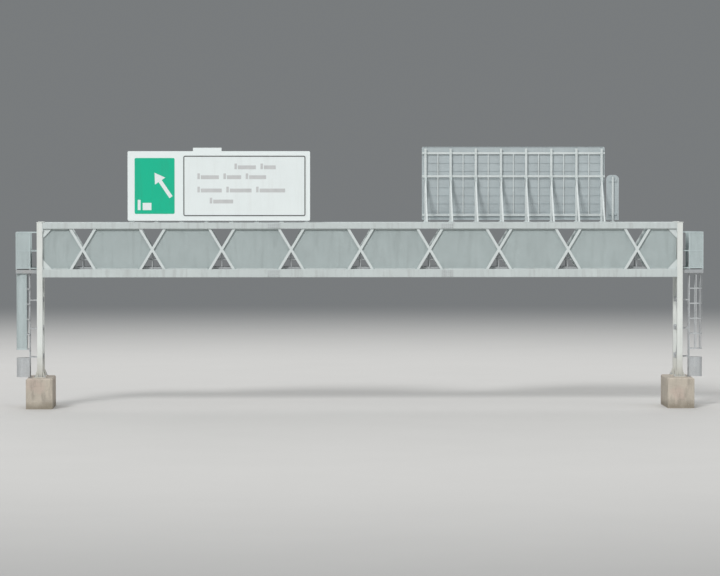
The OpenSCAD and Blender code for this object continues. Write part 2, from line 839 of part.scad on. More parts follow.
// A coloured panel on a sign's face, which starts so far from the reader's left edge
module face_panel(face, x, width, height, start, w, edge, shade) {
    low_x = face == FRONT ? x - width / 2 + start : x + width / 2 - start - w;
    color(shade) at_face(face) translate([low_x, -face_out_y, sign_foot_z + edge])
        rotate([90, 0, 0]) linear_extrude(panel_t)
            round_plate(w, height - 2 * edge, sign_corner_r);
}

module green_panel(face, x, width, height) {
    face_panel(face, x, width, height, panel_edge, green_w, green_edge, green_face);
}

module white_panel(face, x, width, height) {
    start = panel_edge + green_w + panel_gap;
    face_panel(face, x, width, height, start, width - start - white_edge, white_edge,
               white_face);
}

module side_panel_post() {
    color(aluminium) at_face(REAR) union() {
        block(side_x, -truss_y, boom_top, [foot_w, foot_w, foot_t]);
        block(side_x, -truss_y, boom_top,
              [side_post_w, side_post_w, sign_lift + side_h - post_top]);
    }
}

// Narrow plate with round upper corners, on two short rails
module side_panel_face() {
    inner_y = truss_y + side_post_w / 2;
    rail_w = side_w - side_corner_r;
    plate_y = inner_y + rail_frame_d;
    color(aluminium) at_face(REAR) translate([side_x, 0, sign_foot_z]) union() {
        translate([-side_w / 2, -plate_y, 0]) rotate([90, 0, 0]) linear_extrude(side_t)
            union() {
                square([side_w, side_h - side_corner_r]);
                round_plate(side_w, side_h, side_corner_r);
            }
        for (z = [low_rail, side_h - side_corner_r - rail_frame_h])
            translate([-rail_w / 2, -plate_y - cut, z])
                cube([rail_w, rail_frame_d + cut, rail_frame_h]);
    }
}

plinth(LEFT);  // left_plinth
plinth(RIGHT);  // right_plinth
leg(LEFT, FRONT);  // left_front_leg
leg(LEFT, REAR);  // left_rear_leg
leg(RIGHT, FRONT);  // right_front_leg
leg(RIGHT, REAR);  // right_rear_leg
leg_ties(LEFT);  // left_leg_ties
leg_ties(RIGHT);  // right_leg_ties
truss(FRONT);  // front_truss
truss(REAR);  // rear_truss
floor_beams();
roof_bracing();
walkway_deck();
infill(FRONT);  // front_infill
infill(REAR);  // rear_infill
guardrail(FRONT);  // front_guardrail
guardrail(REAR);  // rear_guardrail
landing(LEFT);  // left_landing
landing(RIGHT);  // right_landing
enclosure(LEFT);  // left_enclosure
enclosure(RIGHT);  // right_enclosure
ladder(LEFT);  // left_ladder
ladder(RIGHT);  // right_ladder
ladder_cage(LEFT);  // left_ladder_cage
ladder_cage(RIGHT);  // right_ladder_cage
ladder_guard(LEFT);  // left_ladder_guard
ladder_guard(RIGHT);  // right_ladder_guard
ladder_screen(LEFT);  // left_ladder_screen
sign_posts(FRONT, left_sign_x, left_sign_w, left_sign_h);  // left_sign_posts
sign_frame(FRONT, left_sign_x, left_sign_w, left_sign_h);  // left_sign_frame
union() {  // left_sign_face
    sign_face(FRONT, left_sign_x, left_sign_w, left_sign_h);
    sign_tab();
}
green_panel(FRONT, left_sign_x, left_sign_w, left_sign_h);  // left_green_panel
white_panel(FRONT, left_sign_x, left_sign_w, left_sign_h);  // left_white_panel
sign_posts(REAR, right_sign_x, right_sign_w, right_sign_h);  // right_sign_posts
sign_frame(REAR, right_sign_x, right_sign_w, right_sign_h);  // right_sign_frame
sign_face(REAR, right_sign_x, right_sign_w, right_sign_h);  // right_sign_face
green_panel(REAR, right_sign_x, right_sign_w, right_sign_h);  // right_green_panel
white_panel(REAR, right_sign_x, right_sign_w, right_sign_h);  // right_white_panel
side_panel_post();
side_panel_face();
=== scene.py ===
"""Dresses the overhead sign gantry: a finish for every piece of the frame, and the plinths,
gratings, fixings and sign faces, modelled round it. Metres, in the frame's own axes:
X across the road, -Y towards the viewer, Z up."""

import contextlib
import json
import math

import bpy
from mathutils import Matrix, Vector


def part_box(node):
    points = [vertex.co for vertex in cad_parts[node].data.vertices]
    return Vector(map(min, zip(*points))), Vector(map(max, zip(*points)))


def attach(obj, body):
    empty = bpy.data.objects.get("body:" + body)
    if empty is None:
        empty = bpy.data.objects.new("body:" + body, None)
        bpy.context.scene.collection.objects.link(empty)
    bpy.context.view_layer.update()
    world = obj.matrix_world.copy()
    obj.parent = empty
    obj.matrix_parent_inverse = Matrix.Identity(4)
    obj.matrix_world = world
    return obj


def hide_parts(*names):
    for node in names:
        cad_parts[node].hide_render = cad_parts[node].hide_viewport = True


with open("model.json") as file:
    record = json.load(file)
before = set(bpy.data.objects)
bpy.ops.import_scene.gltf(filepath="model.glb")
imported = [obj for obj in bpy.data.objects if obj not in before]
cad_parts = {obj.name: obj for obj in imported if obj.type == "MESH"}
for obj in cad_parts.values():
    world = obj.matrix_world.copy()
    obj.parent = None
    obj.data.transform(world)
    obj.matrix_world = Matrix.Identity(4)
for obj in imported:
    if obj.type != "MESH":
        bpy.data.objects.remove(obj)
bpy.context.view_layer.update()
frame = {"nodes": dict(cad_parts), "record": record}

bl_info = {
    "name": "Overhead sign gantry",
    "version": (1, 0, 0),
    "blender": (4, 5, 0),
    "location": "View3D > Sidebar > Gantry",
    "description": "Models the finishes and fittings of an overhead sign gantry",
    "category": "Add Mesh",
}

BODY = "root"
SIDES = (-1, 1)
# Both ends. The sign on the left faces the viewer, along -Y, and the one on the right away
ENDS = (("left", -1), ("right", 1))

# Where the frame's pieces stand
LEG_LOW, LEG_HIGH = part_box("right_front_leg")
LEG_X = (LEG_LOW.x + LEG_HIGH.x) / 2
TRUSS_Y = -(LEG_LOW.y + LEG_HIGH.y) / 2
LEG_FOOT = LEG_LOW.z
BASE_W = LEG_HIGH.x - LEG_LOW.x
TRUSS_LOW, TRUSS_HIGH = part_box("front_truss")
BOOM_LOW, BOOM_TOP = TRUSS_LOW.z, TRUSS_HIGH.z
BOOM_END = TRUSS_HIGH.x
DECK_LOW, DECK_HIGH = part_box("walkway_deck")
INFILL_LOW, INFILL_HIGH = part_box("front_infill")
TIES_LOW, TIES_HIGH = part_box("right_leg_ties")
ENCLOSURE_LOW, ENCLOSURE_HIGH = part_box("right_enclosure")
SCREEN_LOW, SCREEN_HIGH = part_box("left_ladder_screen")

# Sizes that the pieces share with the frame
CHORD_W = 0.25
BRACE_PITCH = 3.66
BRACES_A_SIDE = 4
BEAM_PITCH = BRACE_PITCH / 2
BEAMS_A_SIDE = 9
BEAM_XS = [i * BEAM_PITCH for i in range(-BEAMS_A_SIDE, BEAMS_A_SIDE + 1)]
BEAM_W = 0.12
END_PLATE_T = 0.03
TIE_W = 0.15
TIE_PITCH = 1.5
# Middles of the ties that a ladder is bolted to
TIE_ZS = [TIES_LOW.z + TIE_W / 2 + i * TIE_PITCH for i in range(3)]
# The right ladder's plane, its middle along the road, and the axis and radius of its cage
LADDER_X = LEG_X + 0.55
LADDER_Y = -0.33
STILE_Y = 0.235
CAGE_X = LADDER_X + 0.35
CAGE_R = 0.358
# The perforated sheets: their thickness and how near to one's middle its faces lie, the
# bars that frame a landing's sheets, and the bands at the ends of the ladder's screen
SHEET_T = 0.008
SHEET_REACH = 0.005
ENCLOSURE_BAR = 0.05
SCREEN_BAND = 0.08

# A bolt's washer, head and tip, as shares of its size across the flats
WASHER_R, WASHER_T = 0.85, 0.12
HEAD_R, HEAD_H = 0.577, 0.55
HEAD_EDGE, HEAD_CROWN = 0.09, 0.05
TIP_INSET, TIP_H = 0.16, 0.2
# Screws and their like, across the flats
SCREW, TRIM_SCREW, CLIP_BOLT = 0.02, 0.017, 0.018

# How near to 1 a normal is on a face that lies square to an axis, for the modelling and
# in the shaders, and how near to a height a point is that lies at it
SQUARE = 0.9
FACING = 0.7
NEAR = 0.001


def length(name, text, default, low=0.0):
    """A size in metres for the sidebar."""
    return bpy.props.FloatProperty(
        name=name, description=text, default=default, min=low, unit="LENGTH", precision=4)


def number(name, text, default):
    """How many there are of something, for the sidebar."""
    return bpy.props.IntProperty(name=name, description=text, default=default, min=2)


def level(name, text, default, low=0.0):
    """A strength or a lens for the sidebar."""
    return bpy.props.FloatProperty(name=name, description=text, default=default, min=low)


def point(name, text, default):
    """A place for the sidebar."""
    return bpy.props.FloatVectorProperty(
        name=name, description=text, default=default, size=3, unit="LENGTH")


def tint(name, text, default):
    """A colour for the sidebar."""
    return bpy.props.FloatVectorProperty(
        name=name, description=text, default=default, size=3, min=0.0, max=1.0,
        subtype="COLOR")


class GantryColours(bpy.types.PropertyGroup):
    """Base colour of each finish"""
    concrete: tint("Concrete", "Plinths", (0.49, 0.44, 0.37))
    leg: tint("Leg paint", "Legs", (0.70, 0.73, 0.70))
    boom: tint("Boom paint", "Chords and beams of the boom", (0.54, 0.59, 0.583))
    # The braces' tint is the boom's paint made lighter, as painted light on the braces
    brace: tint("Brace paint", "Crossed braces of the boom", (0.66, 0.71, 0.703))
    infill: tint("Infill sheets", "Perforated sheets of the boom", (0.435, 0.50, 0.497))
    enclosure: tint("Enclosures", "Sheets round the landings", (0.485, 0.56, 0.562))
    zinc: tint("Galvanised steel", "Ties, rails, ladders and bolts", (0.50, 0.52, 0.53))
    grating: tint("Grating", "Walkway and landings", (0.38, 0.40, 0.41))
    aluminium: tint("Aluminium", "Rails and backs of the signs", (0.52, 0.58, 0.595))
    post: tint("Sign posts", "Posts and struts of the signs", (0.745, 0.80, 0.795))
    white: tint("White sheeting", "White part of the sign faces", (0.805, 0.865, 0.86))
    green: tint("Green sheeting", "Green part of the sign faces", (0.0, 0.50, 0.29))
    legend: tint("Dark legend", "Borders on the white part", (0.07, 0.075, 0.075))
    pale: tint("Pale legend", "Rows of blank words on the white part", (0.55, 0.56, 0.56))
    floor: tint("Floor", "Studio floor round the gantry", (0.60, 0.595, 0.58))
    backdrop: tint("Backdrop", "What the floor fades into", (0.19, 0.20, 0.205))


class GantrySizes(bpy.types.PropertyGroup):
    """Sizes of the fittings"""
    anchor_across: length("Anchor nut", "Anchor nuts, across the flats", 0.056, 0.02)
    bolt_across: length("Frame bolt", "Bolts of the boom, across the flats", 0.036, 0.012)
    small_across: length("Small bolt", "Bolts of the signs and ladders, across the flats",
                         0.026, 0.008)
    groove: length("Board joint", "Depth of the formwork joints", 0.006, 0.001)
    board: length("Formwork board", "Height of one formwork board", 0.40, 0.1)
    bar_pitch: length("Bearing bars", "Distance between the bars of a grating", 0.041, 0.02)
    rod_pitch: length("Cross rods", "Distance between the rods of a grating", 0.100, 0.03)
    trim: length("Sheet trim", "Width of the flats that hold a sheet", 0.05, 0.02)
    screw_pitch: length("Trim screws", "Distance between the screws of a trim", 0.30, 0.1)
    border: length("Sign border", "Width of the borders on a sign's face", 0.055, 0.01)
    film: length("Legend film", "Thickness of the legend on a sign's face", 0.002, 0.0005)


class GantryStudio(bpy.types.PropertyGroup):
    """Where the gantry is seen from, and its light"""
    camera: point("Camera", "Place of the camera", (-5.9, -205.6, 13.03))
    target: point("Target", "Point the camera looks at", (0.0, 0.0, 6.3))
    lens: level("Lens", "Focal length in millimetres", 194.0, 20.0)
    sun: level("Key light", "Strength of the key light", 1.87)
    sky: level("Overhead light", "Strength of the light from above", 0.61)


# Working tools

def colour(name):
    return getattr(bpy.context.scene.gantry_colours, name)


def sizes():
    return bpy.context.scene.gantry_sizes


def deselect():
    """Leaves nothing selected, in object mode."""
    if bpy.context.mode != "OBJECT":
        bpy.ops.object.mode_set(mode="OBJECT")
    bpy.ops.object.select_all(action="DESELECT")


def hold(piece):
    """Selects one piece and nothing else."""
    deselect()
    piece.select_set(True)
    bpy.context.view_layer.objects.active = piece


@contextlib.contextmanager
def editing(piece, edges=None, faces=None):
    """Edit mode, with the edges or faces selected that a test picks, or with all of them."""
    hold(piece)
    mesh = piece.data
    for part in (*mesh.vertices, *mesh.edges, *mesh.polygons):
        part.select = False
    if edges:
        for edge in mesh.edges:
            edge.select = edges(*(mesh.vertices[i].co for i in edge.vertices))
    if faces:
        for face in mesh.polygons:
            face.select = faces(face)
    bpy.ops.object.mode_set(mode="EDIT")
    if edges or faces:
        bpy.ops.mesh.select_mode(type="EDGE" if edges else "FACE")
    else:
        bpy.ops.mesh.select_all(action="SELECT")
    yield
    bpy.ops.object.mode_set(mode="OBJECT")


def extruded(run):
    """Pulls the selected faces out, or pushes them in, along a vector."""
    bpy.ops.mesh.extrude_region_move(TRANSFORM_OT_translate={"value": run})


def at(x, y, z, towards=(0, 0, 1), spin=0.0):
    """A place whose Z axis points towards a direction, spun round it."""
    turn = Vector((0, 0, 1)).rotation_difference(Vector(towards)).to_matrix().to_4x4()
    return Matrix.Translation((x, y, z)) @ turn @ Matrix.Rotation(spin, 4, "Z")


def primitive(add, scale=(1, 1, 1), **settings):
    """Adds a primitive to shape, with its place, turn and scale in its mesh."""
    deselect()
    add(**settings)
    piece = bpy.context.active_object
    piece.scale = scale
    bpy.ops.object.transform_apply(location=True, rotation=True, scale=True)
    return piece


def cuboid(low, high):
    """A bar or plate from its lowest to its highest corner."""
    low, high = Vector(low), Vector(high)
    return primitive(bpy.ops.mesh.primitive_cube_add, high - low, size=1.0,
                     location=(low + high) / 2)


def rod(start, end, radius, sides=12):
    """A round bar from start to end."""
    start, end = Vector(start), Vector(end)
    run = end - start
    turn = Vector((0, 0, 1)).rotation_difference(run).to_euler()
    return primitive(bpy.ops.mesh.primitive_cylinder_add, vertices=sides, radius=radius,
                     depth=run.length, location=(start + end) / 2, rotation=turn)


def modified(piece, kind, **settings):
    """Adds a modifier, sets it and applies it."""
    hold(piece)
    bpy.ops.object.modifier_add(type=kind)
    modifier = piece.modifiers[-1]
    for key, value in settings.items():
        setattr(modifier, key, value)
    bpy.ops.object.modifier_apply(modifier=modifier.name)
    return piece


def softened(piece, width, segments=1):
    """Rounds the sharp edges of a piece."""
    return modified(piece, "BEVEL", width=width, segments=segments, limit_method="ANGLE",
                    angle_limit=math.radians(40))


def bevelled(piece, width, segments, wanted):
    """Bevels the edges of a piece whose two ends wanted() picks."""
    with editing(piece, edges=wanted):
        bpy.ops.mesh.bevel(offset=width, segments=segments, affect="EDGES")


def in_a_row(piece, count, step):
    """Repeats a piece along one step."""
    return modified(piece, "ARRAY", count=count, use_relative_offset=False,
                    use_constant_offset=True, constant_offset_displace=step)


def joined(pieces, name):
    """Makes one piece of several."""
    deselect()
    for piece in pieces:
        piece.select_set(True)
    bpy.context.view_layer.objects.active = pieces[0]
    if len(pieces) > 1:
        bpy.ops.object.join()
    whole = bpy.context.active_object
    whole.name = name
    whole.data.name = name
    return whole


def copied(piece, places, name):
    """Copies a piece to each place, joins the copies and takes the first one away."""
    copies = []
    for place in places:
        copy = piece.copy()
        copy.data = piece.data.copy()
        copy.data.transform(place)
        bpy.context.scene.collection.objects.link(copy)
        copies.append(copy)
    bpy.data.objects.remove(piece)
    return joined(copies, name)


def bolt(across):
    """A hexagon head on a washer with the bolt's tip above it, seated on Z = 0."""
    seat, top = WASHER_T * across, (WASHER_T + HEAD_H) * across
    washer = rod((0, 0, 0), (0, 0, seat), WASHER_R * across)
    head = rod((0, 0, seat), (0, 0, top), HEAD_R * across, 6)
    with editing(head, faces=lambda face: face.normal.z > SQUARE):
        bpy.ops.mesh.inset(thickness=HEAD_EDGE * across)
        bpy.ops.transform.translate(value=(0, 0, HEAD_CROWN * across))
        bpy.ops.mesh.inset(thickness=TIP_INSET * across)
        extruded((0, 0, TIP_H * across))
    return joined([head, washer], "bolt")


def bolts(across, places):
    """Bolts at several places, as one piece."""
    return copied(bolt(across), places, "bolts")


def bolted_plate(size, spots, across):
    """A plate that lies on Z = 0, with bolts through it."""
    wide, long, thick = size
    plate = cuboid((-wide / 2, -long / 2, 0), (wide / 2, long / 2, thick))
    plate = softened(plate, 0.002)
    return joined([plate, bolts(across, [at(x, y, thick) for x, y in spots])], "plate")


def channel(low, high, open_side, flange=0.008):
    """A bar with a hollow along the side that faces open_side."""
    piece = cuboid(low, high)
    out = Vector(open_side)
    depth = abs(out.dot(Vector(high) - Vector(low)))
    with editing(piece, faces=lambda face: face.normal.dot(out) > SQUARE):
        bpy.ops.mesh.inset(thickness=flange)
        extruded(out * (flange - depth))
    return piece


def grating(low, high):
    """An open grating: bearing bars along X, cross rods along Y and a band all round."""
    bar_t, rod_w, rod_low, rod_high = 0.005, 0.008, 0.012, 0.002
    wide, long = high[1] - low[1], high[0] - low[0]
    bars = max(2, round(wide / sizes().bar_pitch) + 1)
    rods = max(2, round(long / sizes().rod_pitch))
    start = low[0] + long / rods / 2
    bearing = cuboid(low, (high[0], low[1] + bar_t, high[2]))
    bearing = in_a_row(bearing, bars, (0, (wide - bar_t) / (bars - 1), 0))
    cross = cuboid((start, low[1], high[2] - rod_low), (start + rod_w, high[1], high[2] - rod_high))
    cross = in_a_row(cross, rods, (long / rods, 0, 0))
    ends = [cuboid((x, low[1], low[2]), (x + bar_t, high[1], high[2]))
            for x in (low[0], high[0] - bar_t)]
    return joined([bearing, cross, *ends], "grating")


def dressed(piece, look):
    """Gives a piece one finish."""
    piece.data.materials.clear()
    piece.data.materials.append(finish(look))


def finished(piece, slot, look=None, replaced=()):
    """Gives a piece its finish, and its place on the frame."""
    hold(piece)
    bpy.ops.object.shade_smooth_by_angle(angle=math.radians(30))
    dressed(piece, look or slot)
    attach(piece, BODY)
    if replaced:
        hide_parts(*replaced)


def fixed(piece, places, name, slot="galvanised", look=None):
    """Puts a copy of a fitting at each place, as one finished piece."""
    finished(copied(piece, places, name), slot, look)


# Shader nodes

class Nodes:
    """The shader nodes of one material, group or world."""

    def __init__(self, tree):
        self.tree = tree

    def feed(self, socket, value):
        """Links a socket to another one's value, or sets it."""
        if isinstance(value, bpy.types.NodeSocket):
            self.tree.links.new(value, socket)
        else:
            socket.default_value = value

    def add(self, kind, inputs=(), **settings):
        """Adds a node, sets it and feeds its inputs, given by name or in their order."""
        node = self.tree.nodes.new(kind)
        node.location = (len(self.tree.nodes) * 180, -(len(self.tree.nodes) % 4) * 160)
        for key, value in settings.items():
            setattr(node, key, value)
        for key, value in inputs.items() if isinstance(inputs, dict) else enumerate(inputs):
            self.feed(node.inputs[key], value)
        return node

    def put(self, kind, inputs=(), out=0, **settings):
        """Adds a node and gives one of its outputs."""
        return self.add(kind, inputs, **settings).outputs[out]

    def calc(self, operation, a, b=0.0, c=0.0, clamp=False):
        return self.put("ShaderNodeMath", (a, b, c), operation=operation, use_clamp=clamp)

    def times(self, a, b, clamp=False):
        return self.calc("MULTIPLY", a, b, clamp=clamp)

    def ramp(self, value, low, high, out_low=0.0, out_high=1.0, curve="SMOOTHSTEP"):
        """Value carried from one range to another."""
        return self.put("ShaderNodeMapRange", (value, low, high, out_low, out_high),
                        interpolation_type=curve)

    def mix(self, mask, a, b):
        """Colour a where the mask is 0 and colour b where it is 1."""
        a, b = (c if isinstance(c, bpy.types.NodeSocket) else (*c[:3], 1.0) for c in (a, b))
        return self.put("ShaderNodeMix", {0: mask, 6: a, 7: b}, 2, data_type="RGBA")

    def parts(self, value, kind="ShaderNodeSeparateXYZ"):
        return self.add(kind, (value,)).outputs[:3]

    def noise(self, where, scale, detail, roughness=0.5):
        return self.put("ShaderNodeTexNoise", {"Vector": where, "Scale": scale,
                                               "Detail": detail, "Roughness": roughness})

    def cells(self, where, scale, out, feature="F1"):
        return self.put("ShaderNodeTexVoronoi", {"Vector": where, "Scale": scale}, out,
                        feature=feature)

    def use(self, effect, **inputs):
        """Places an effect's shader group, which is built the first time it is used."""
        if effect not in GROUPS:
            GROUPS[effect] = new_group(effect, inputs)
        return self.add("ShaderNodeGroup", inputs, node_tree=GROUPS[effect]).outputs


# Shader groups by the function that lays out each one's effect
GROUPS = {}


def new_group(effect, names):
    """A shader group: effect() gets its inputs by name, and returns its outputs by name."""
    tree = bpy.data.node_groups.new(effect.__name__, "ShaderNodeTree")
    start, end = tree.nodes.new("NodeGroupInput"), tree.nodes.new("NodeGroupOutput")
    for name in names:
        kind = "NodeSocketVector" if name == "where" else "NodeSocketFloat"
        tree.interface.new_socket(name, in_out="INPUT", socket_type=kind)
    given = {name: start.outputs[name] for name in names}
    for name, result in effect(Nodes(tree), **given).items():
        tree.interface.new_socket(name, in_out="OUTPUT", socket_type="NodeSocketFloat")
        tree.links.new(result, end.inputs[name])
    return tree


def rain_streaks(nodes, where, spread, stretch, amount):
    """Streaks that run down a surface, wider apart with spread and longer with stretch."""
    x, y, z = nodes.parts(where)
    place = nodes.put("ShaderNodeCombineXYZ", (
        nodes.times(x, spread), nodes.times(y, spread), nodes.calc("DIVIDE", z, stretch)))
    streaks = nodes.ramp(nodes.noise(place, 1.0, 5.0, 0.62), 0.46, 0.72)
    return {"mask": nodes.times(streaks, amount, clamp=True)}


def soiling(nodes, where, thick_at, gone_at, ragged, amount):
    """Dirt that is thick at one height and gone at another, with a ragged edge."""
    noise = nodes.calc("SUBTRACT", nodes.noise(where, 2.6, 6.0, 0.6), 0.5)
    height = nodes.calc("MULTIPLY_ADD", noise, ragged, nodes.parts(where)[2])
    return {"mask": nodes.times(nodes.ramp(height, gone_at, thick_at), amount, clamp=True)}


def patches(nodes, where, scale, contrast, grain):
    """Broad soft patches of tone round 1, and a fine grain for the bump."""
    broad = nodes.calc("SUBTRACT", nodes.noise(where, scale, 7.0, 0.58), 0.5)
    return {"tone": nodes.calc("MULTIPLY_ADD", broad, contrast, 1.0),
            "grain": nodes.noise(where, grain, 3.0)}


def zinc_spangle(nodes, where, scale):
    """Crystal patches of hot-dip zinc: a tone and a roughness for each patch."""
    tone, gloss, _ = nodes.parts(nodes.cells(where, scale, "Color"), "ShaderNodeSeparateColor")
    return {"tone": nodes.ramp(tone, 0.0, 1.0, 0.90, 1.10, "LINEAR"),
            "gloss": nodes.ramp(gloss, 0.0, 1.0, -0.07, 0.07, "LINEAR")}


def perforation(nodes, where, pitch, hole):
    """Round holes in staggered rows, on upright surfaces."""
    row_h = 0.866
    x, y, z = nodes.parts(where)
    rows = nodes.calc("DIVIDE", z, nodes.times(pitch, row_h))
    stagger = nodes.calc("FRACT", nodes.times(nodes.calc("FLOOR", rows), 0.5))
    columns = nodes.calc("DIVIDE", nodes.calc("ADD", x, y), pitch)
    columns = nodes.calc("ADD", columns, stagger)
    u, v = (nodes.calc("SUBTRACT", nodes.calc("FRACT", line), 0.5) for line in (columns, rows))
    v = nodes.times(v, row_h)
    away = nodes.calc("SQRT", nodes.calc("MULTIPLY_ADD", u, u, nodes.times(v, v)))
    return {"mask": nodes.calc("LESS_THAN", nodes.times(away, pitch), nodes.times(hole, 0.5))}


def worn_edge(nodes, where, radius, amount):
    """A painted highlight where a surface turns over an edge within a radius, broken up by noise.
    """
    rounded = nodes.put("ShaderNodeBevel", (radius,), samples=4)
    normal = nodes.put("ShaderNodeNewGeometry", out="Normal")
    turned = nodes.put("ShaderNodeVectorMath", (rounded, normal), "Value",
                       operation="DOT_PRODUCT")
    mask = nodes.times(nodes.ramp(turned, 0.995, 0.90),
                       nodes.ramp(nodes.noise(where, 14.0, 6.0), 0.38, 0.62))
    return {"mask": nodes.times(mask, amount, clamp=True)}


def facing_y(nodes, way):
    """1 on surfaces that face a way along Y, 0 on all others."""
    y = nodes.parts(nodes.put("ShaderNodeNewGeometry", out="True Normal"))[1]
    return {"mask": nodes.calc("GREATER_THAN", nodes.times(y, way), FACING)}


class Finish(Nodes):
    """A material: layers of colour by object coordinates, for one Principled shader."""

    def __init__(self, name):
        self.material = bpy.data.materials.new(name)
        self.material.use_nodes = True
        super().__init__(self.material.node_tree)
        self.tree.nodes.clear()
        self.shader = self.add("ShaderNodeBsdfPrincipled")
        self.end = self.add("ShaderNodeOutputMaterial", {"Surface": self.shader.outputs[0]})
        self.where = self.put("ShaderNodeTexCoord", out="Object")

    def set(self, name, value):
        """Feeds one input of the shader."""
        self.feed(self.shader.inputs[name], value)

    def patchy(self, paint, scale, contrast, grain, tone=1.0):
        """Starts from a colour in broad soft patches, and gives their outputs."""
        patch = self.use(patches, where=self.where, scale=scale, contrast=contrast, grain=grain)
        tone = self.times(patch["tone"], tone)
        self.base = self.put("ShaderNodeVectorMath", {0: (*paint,), 3: tone}, operation="SCALE")
        self.set("Base Color", self.base)
        return patch

    def over(self, mask, paint):
        """Lays a colour over the others where a mask is 1, and gives the mask."""
        self.base = self.mix(mask, self.base, paint)
        self.set("Base Color", self.base)
        return mask

    def layer(self, effect, paint, **inputs):
        """Lays a colour over the others where an effect's mask is 1, and gives the mask."""
        return self.over(self.use(effect, where=self.where, **inputs)["mask"], paint)

    def rough(self, mask, more, least):
        self.set("Roughness", self.calc("MULTIPLY_ADD", mask, more, least))

    def bump(self, height, distance, strength):
        self.set("Normal", self.put("ShaderNodeBump", {
            "Strength": strength, "Distance": distance, "Height": height}))


def shade(paint, share):
    """A colour made darker or lighter."""
    return [min(1.0, c * share) for c in paint]


# Finishes

def painted_steel(look, paint, grime, streaks):
    """Weathered satin paint: soft patches, rain streaks, grime, and a painted highlight on the
    edges.
    """
    patch = look.patchy(paint, scale=0.7, contrast=0.22, grain=160.0)
    runs = look.layer(rain_streaks, grime, spread=5.0, stretch=1.6, amount=streaks)
    # Painted highlight: the paint is lighter where it turns over an edge
    look.layer(worn_edge, shade(paint, 1.25), radius=0.012, amount=0.35)
    look.rough(runs, 0.25, 0.42)
    look.bump(patch["grain"], 0.0008, 0.25)


def leg_paint(look):
    """White paint with road grime that thickens towards the foot."""
    painted_steel(look, colour("leg"), (0.42, 0.41, 0.37), 0.22)
    look.layer(soiling, (0.40, 0.37, 0.31), thick_at=LEG_FOOT, gone_at=3.4, ragged=1.2,
               amount=0.55)


def boom_paint(look):
    """Paint of the chords, with darker streaks."""
    painted_steel(look, colour("boom"), (0.34, 0.35, 0.34), 0.35)


def truss_paint(look):
    """Boom paint, made lighter on the braces between the chords: painted light that makes up for
    the shade they get.
    """
    boom_paint(look)
    middle, half = (INFILL_LOW.z + INFILL_HIGH.z) / 2, (INFILL_HIGH.z - INFILL_LOW.z) / 2
    away = look.calc("SUBTRACT", look.parts(look.where)[2], middle)
    away = look.calc("ABSOLUTE", away)
    # Painted light: the braces are laid over with the lighter tint
    look.over(look.ramp(away, half + 0.03, half - 0.05, 0.0, 0.7), colour("brace"))


def unrolled(look, axis, radius):
    """Coordinates of a sheet that is bent round an upright axis, laid out flat."""
    off = look.put("ShaderNodeVectorMath", (look.where, (*axis, 0.0)), operation="SUBTRACT")
    x, y, z = look.parts(off)
    along = look.times(look.calc("ARCTAN2", y, x), radius)
    return look.put("ShaderNodeCombineXYZ", (along, 0.0, z))


def in_planes(look, planes):
    """1 on a sheet's own faces, from the axis and the distance of each plane it lies in."""
    place = look.parts(look.where)
    normal = look.parts(look.put("ShaderNodeNewGeometry", out="True Normal"))
    mask = 0.0
    for axis, distance in planes:
        off = look.calc("ABSOLUTE", place[axis])
        near = look.calc("COMPARE", off, distance, SHEET_REACH)
        square = look.calc("GREATER_THAN", look.calc("ABSOLUTE", normal[axis]), FACING)
        mask = look.calc("MULTIPLY_ADD", near, square, mask)
    return mask


def perforated_sheet(look, tint_name, planes=(), axis=None):
    """Painted sheet with staggered round holes drawn as painted shade: flat in a frame, or bent
    round an axis.
    """
    paint = colour(tint_name)
    look.patchy(paint, scale=0.9, contrast=0.25, grain=120.0)
    look.layer(rain_streaks, shade(paint, 0.62), spread=3.4, stretch=2.0, amount=0.35)
    if axis:
        flat = unrolled(look, axis, CAGE_R)
        middle, half = (SCREEN_LOW.z + SCREEN_HIGH.z) / 2, (SCREEN_HIGH.z - SCREEN_LOW.z) / 2
        inside = look.calc("COMPARE", look.parts(look.where)[2], middle, half - SCREEN_BAND)
    else:
        flat, inside = look.where, in_planes(look, planes)
    holes = look.use(perforation, where=flat, pitch=0.02, hole=0.009)["mask"]
    # The holes are painted dark: painted shade of the space behind the sheet, as no hole is cut
    holes = look.over(look.times(holes, inside), shade(paint, 0.35))
    look.rough(holes, 0.3, 0.5)
    look.bump(look.calc("SUBTRACT", 1.0, holes), 0.003, 0.5)


def galvanised(look):
    """Dull zinc with crystal patches, white bloom and rain streaks."""
    spangle = look.use(zinc_spangle, where=look.where, scale=38.0)
    patch = look.patchy(colour("zinc"), scale=1.6, contrast=0.3, grain=200.0,
                        tone=spangle["tone"])
    look.layer(rain_streaks, (0.66, 0.67, 0.66), spread=9.0, stretch=0.8, amount=0.35)
    look.set("Metallic", 0.35)
    look.set("Roughness", look.calc("ADD", spangle["gloss"], 0.48))
    look.bump(patch["grain"], 0.0006, 0.2)


def grating_steel(look):
    """Zinc dulled by dust and shoes."""
    patch = look.patchy(colour("grating"), scale=2.0, contrast=0.5, grain=220.0)
    look.over(look.ramp(patch["tone"], 0.98, 1.12, 0.0, 0.35), (0.36, 0.33, 0.29))
    look.set("Metallic", 0.3)
    look.set("Roughness", 0.55)
    look.bump(patch["grain"], 0.0006, 0.25)


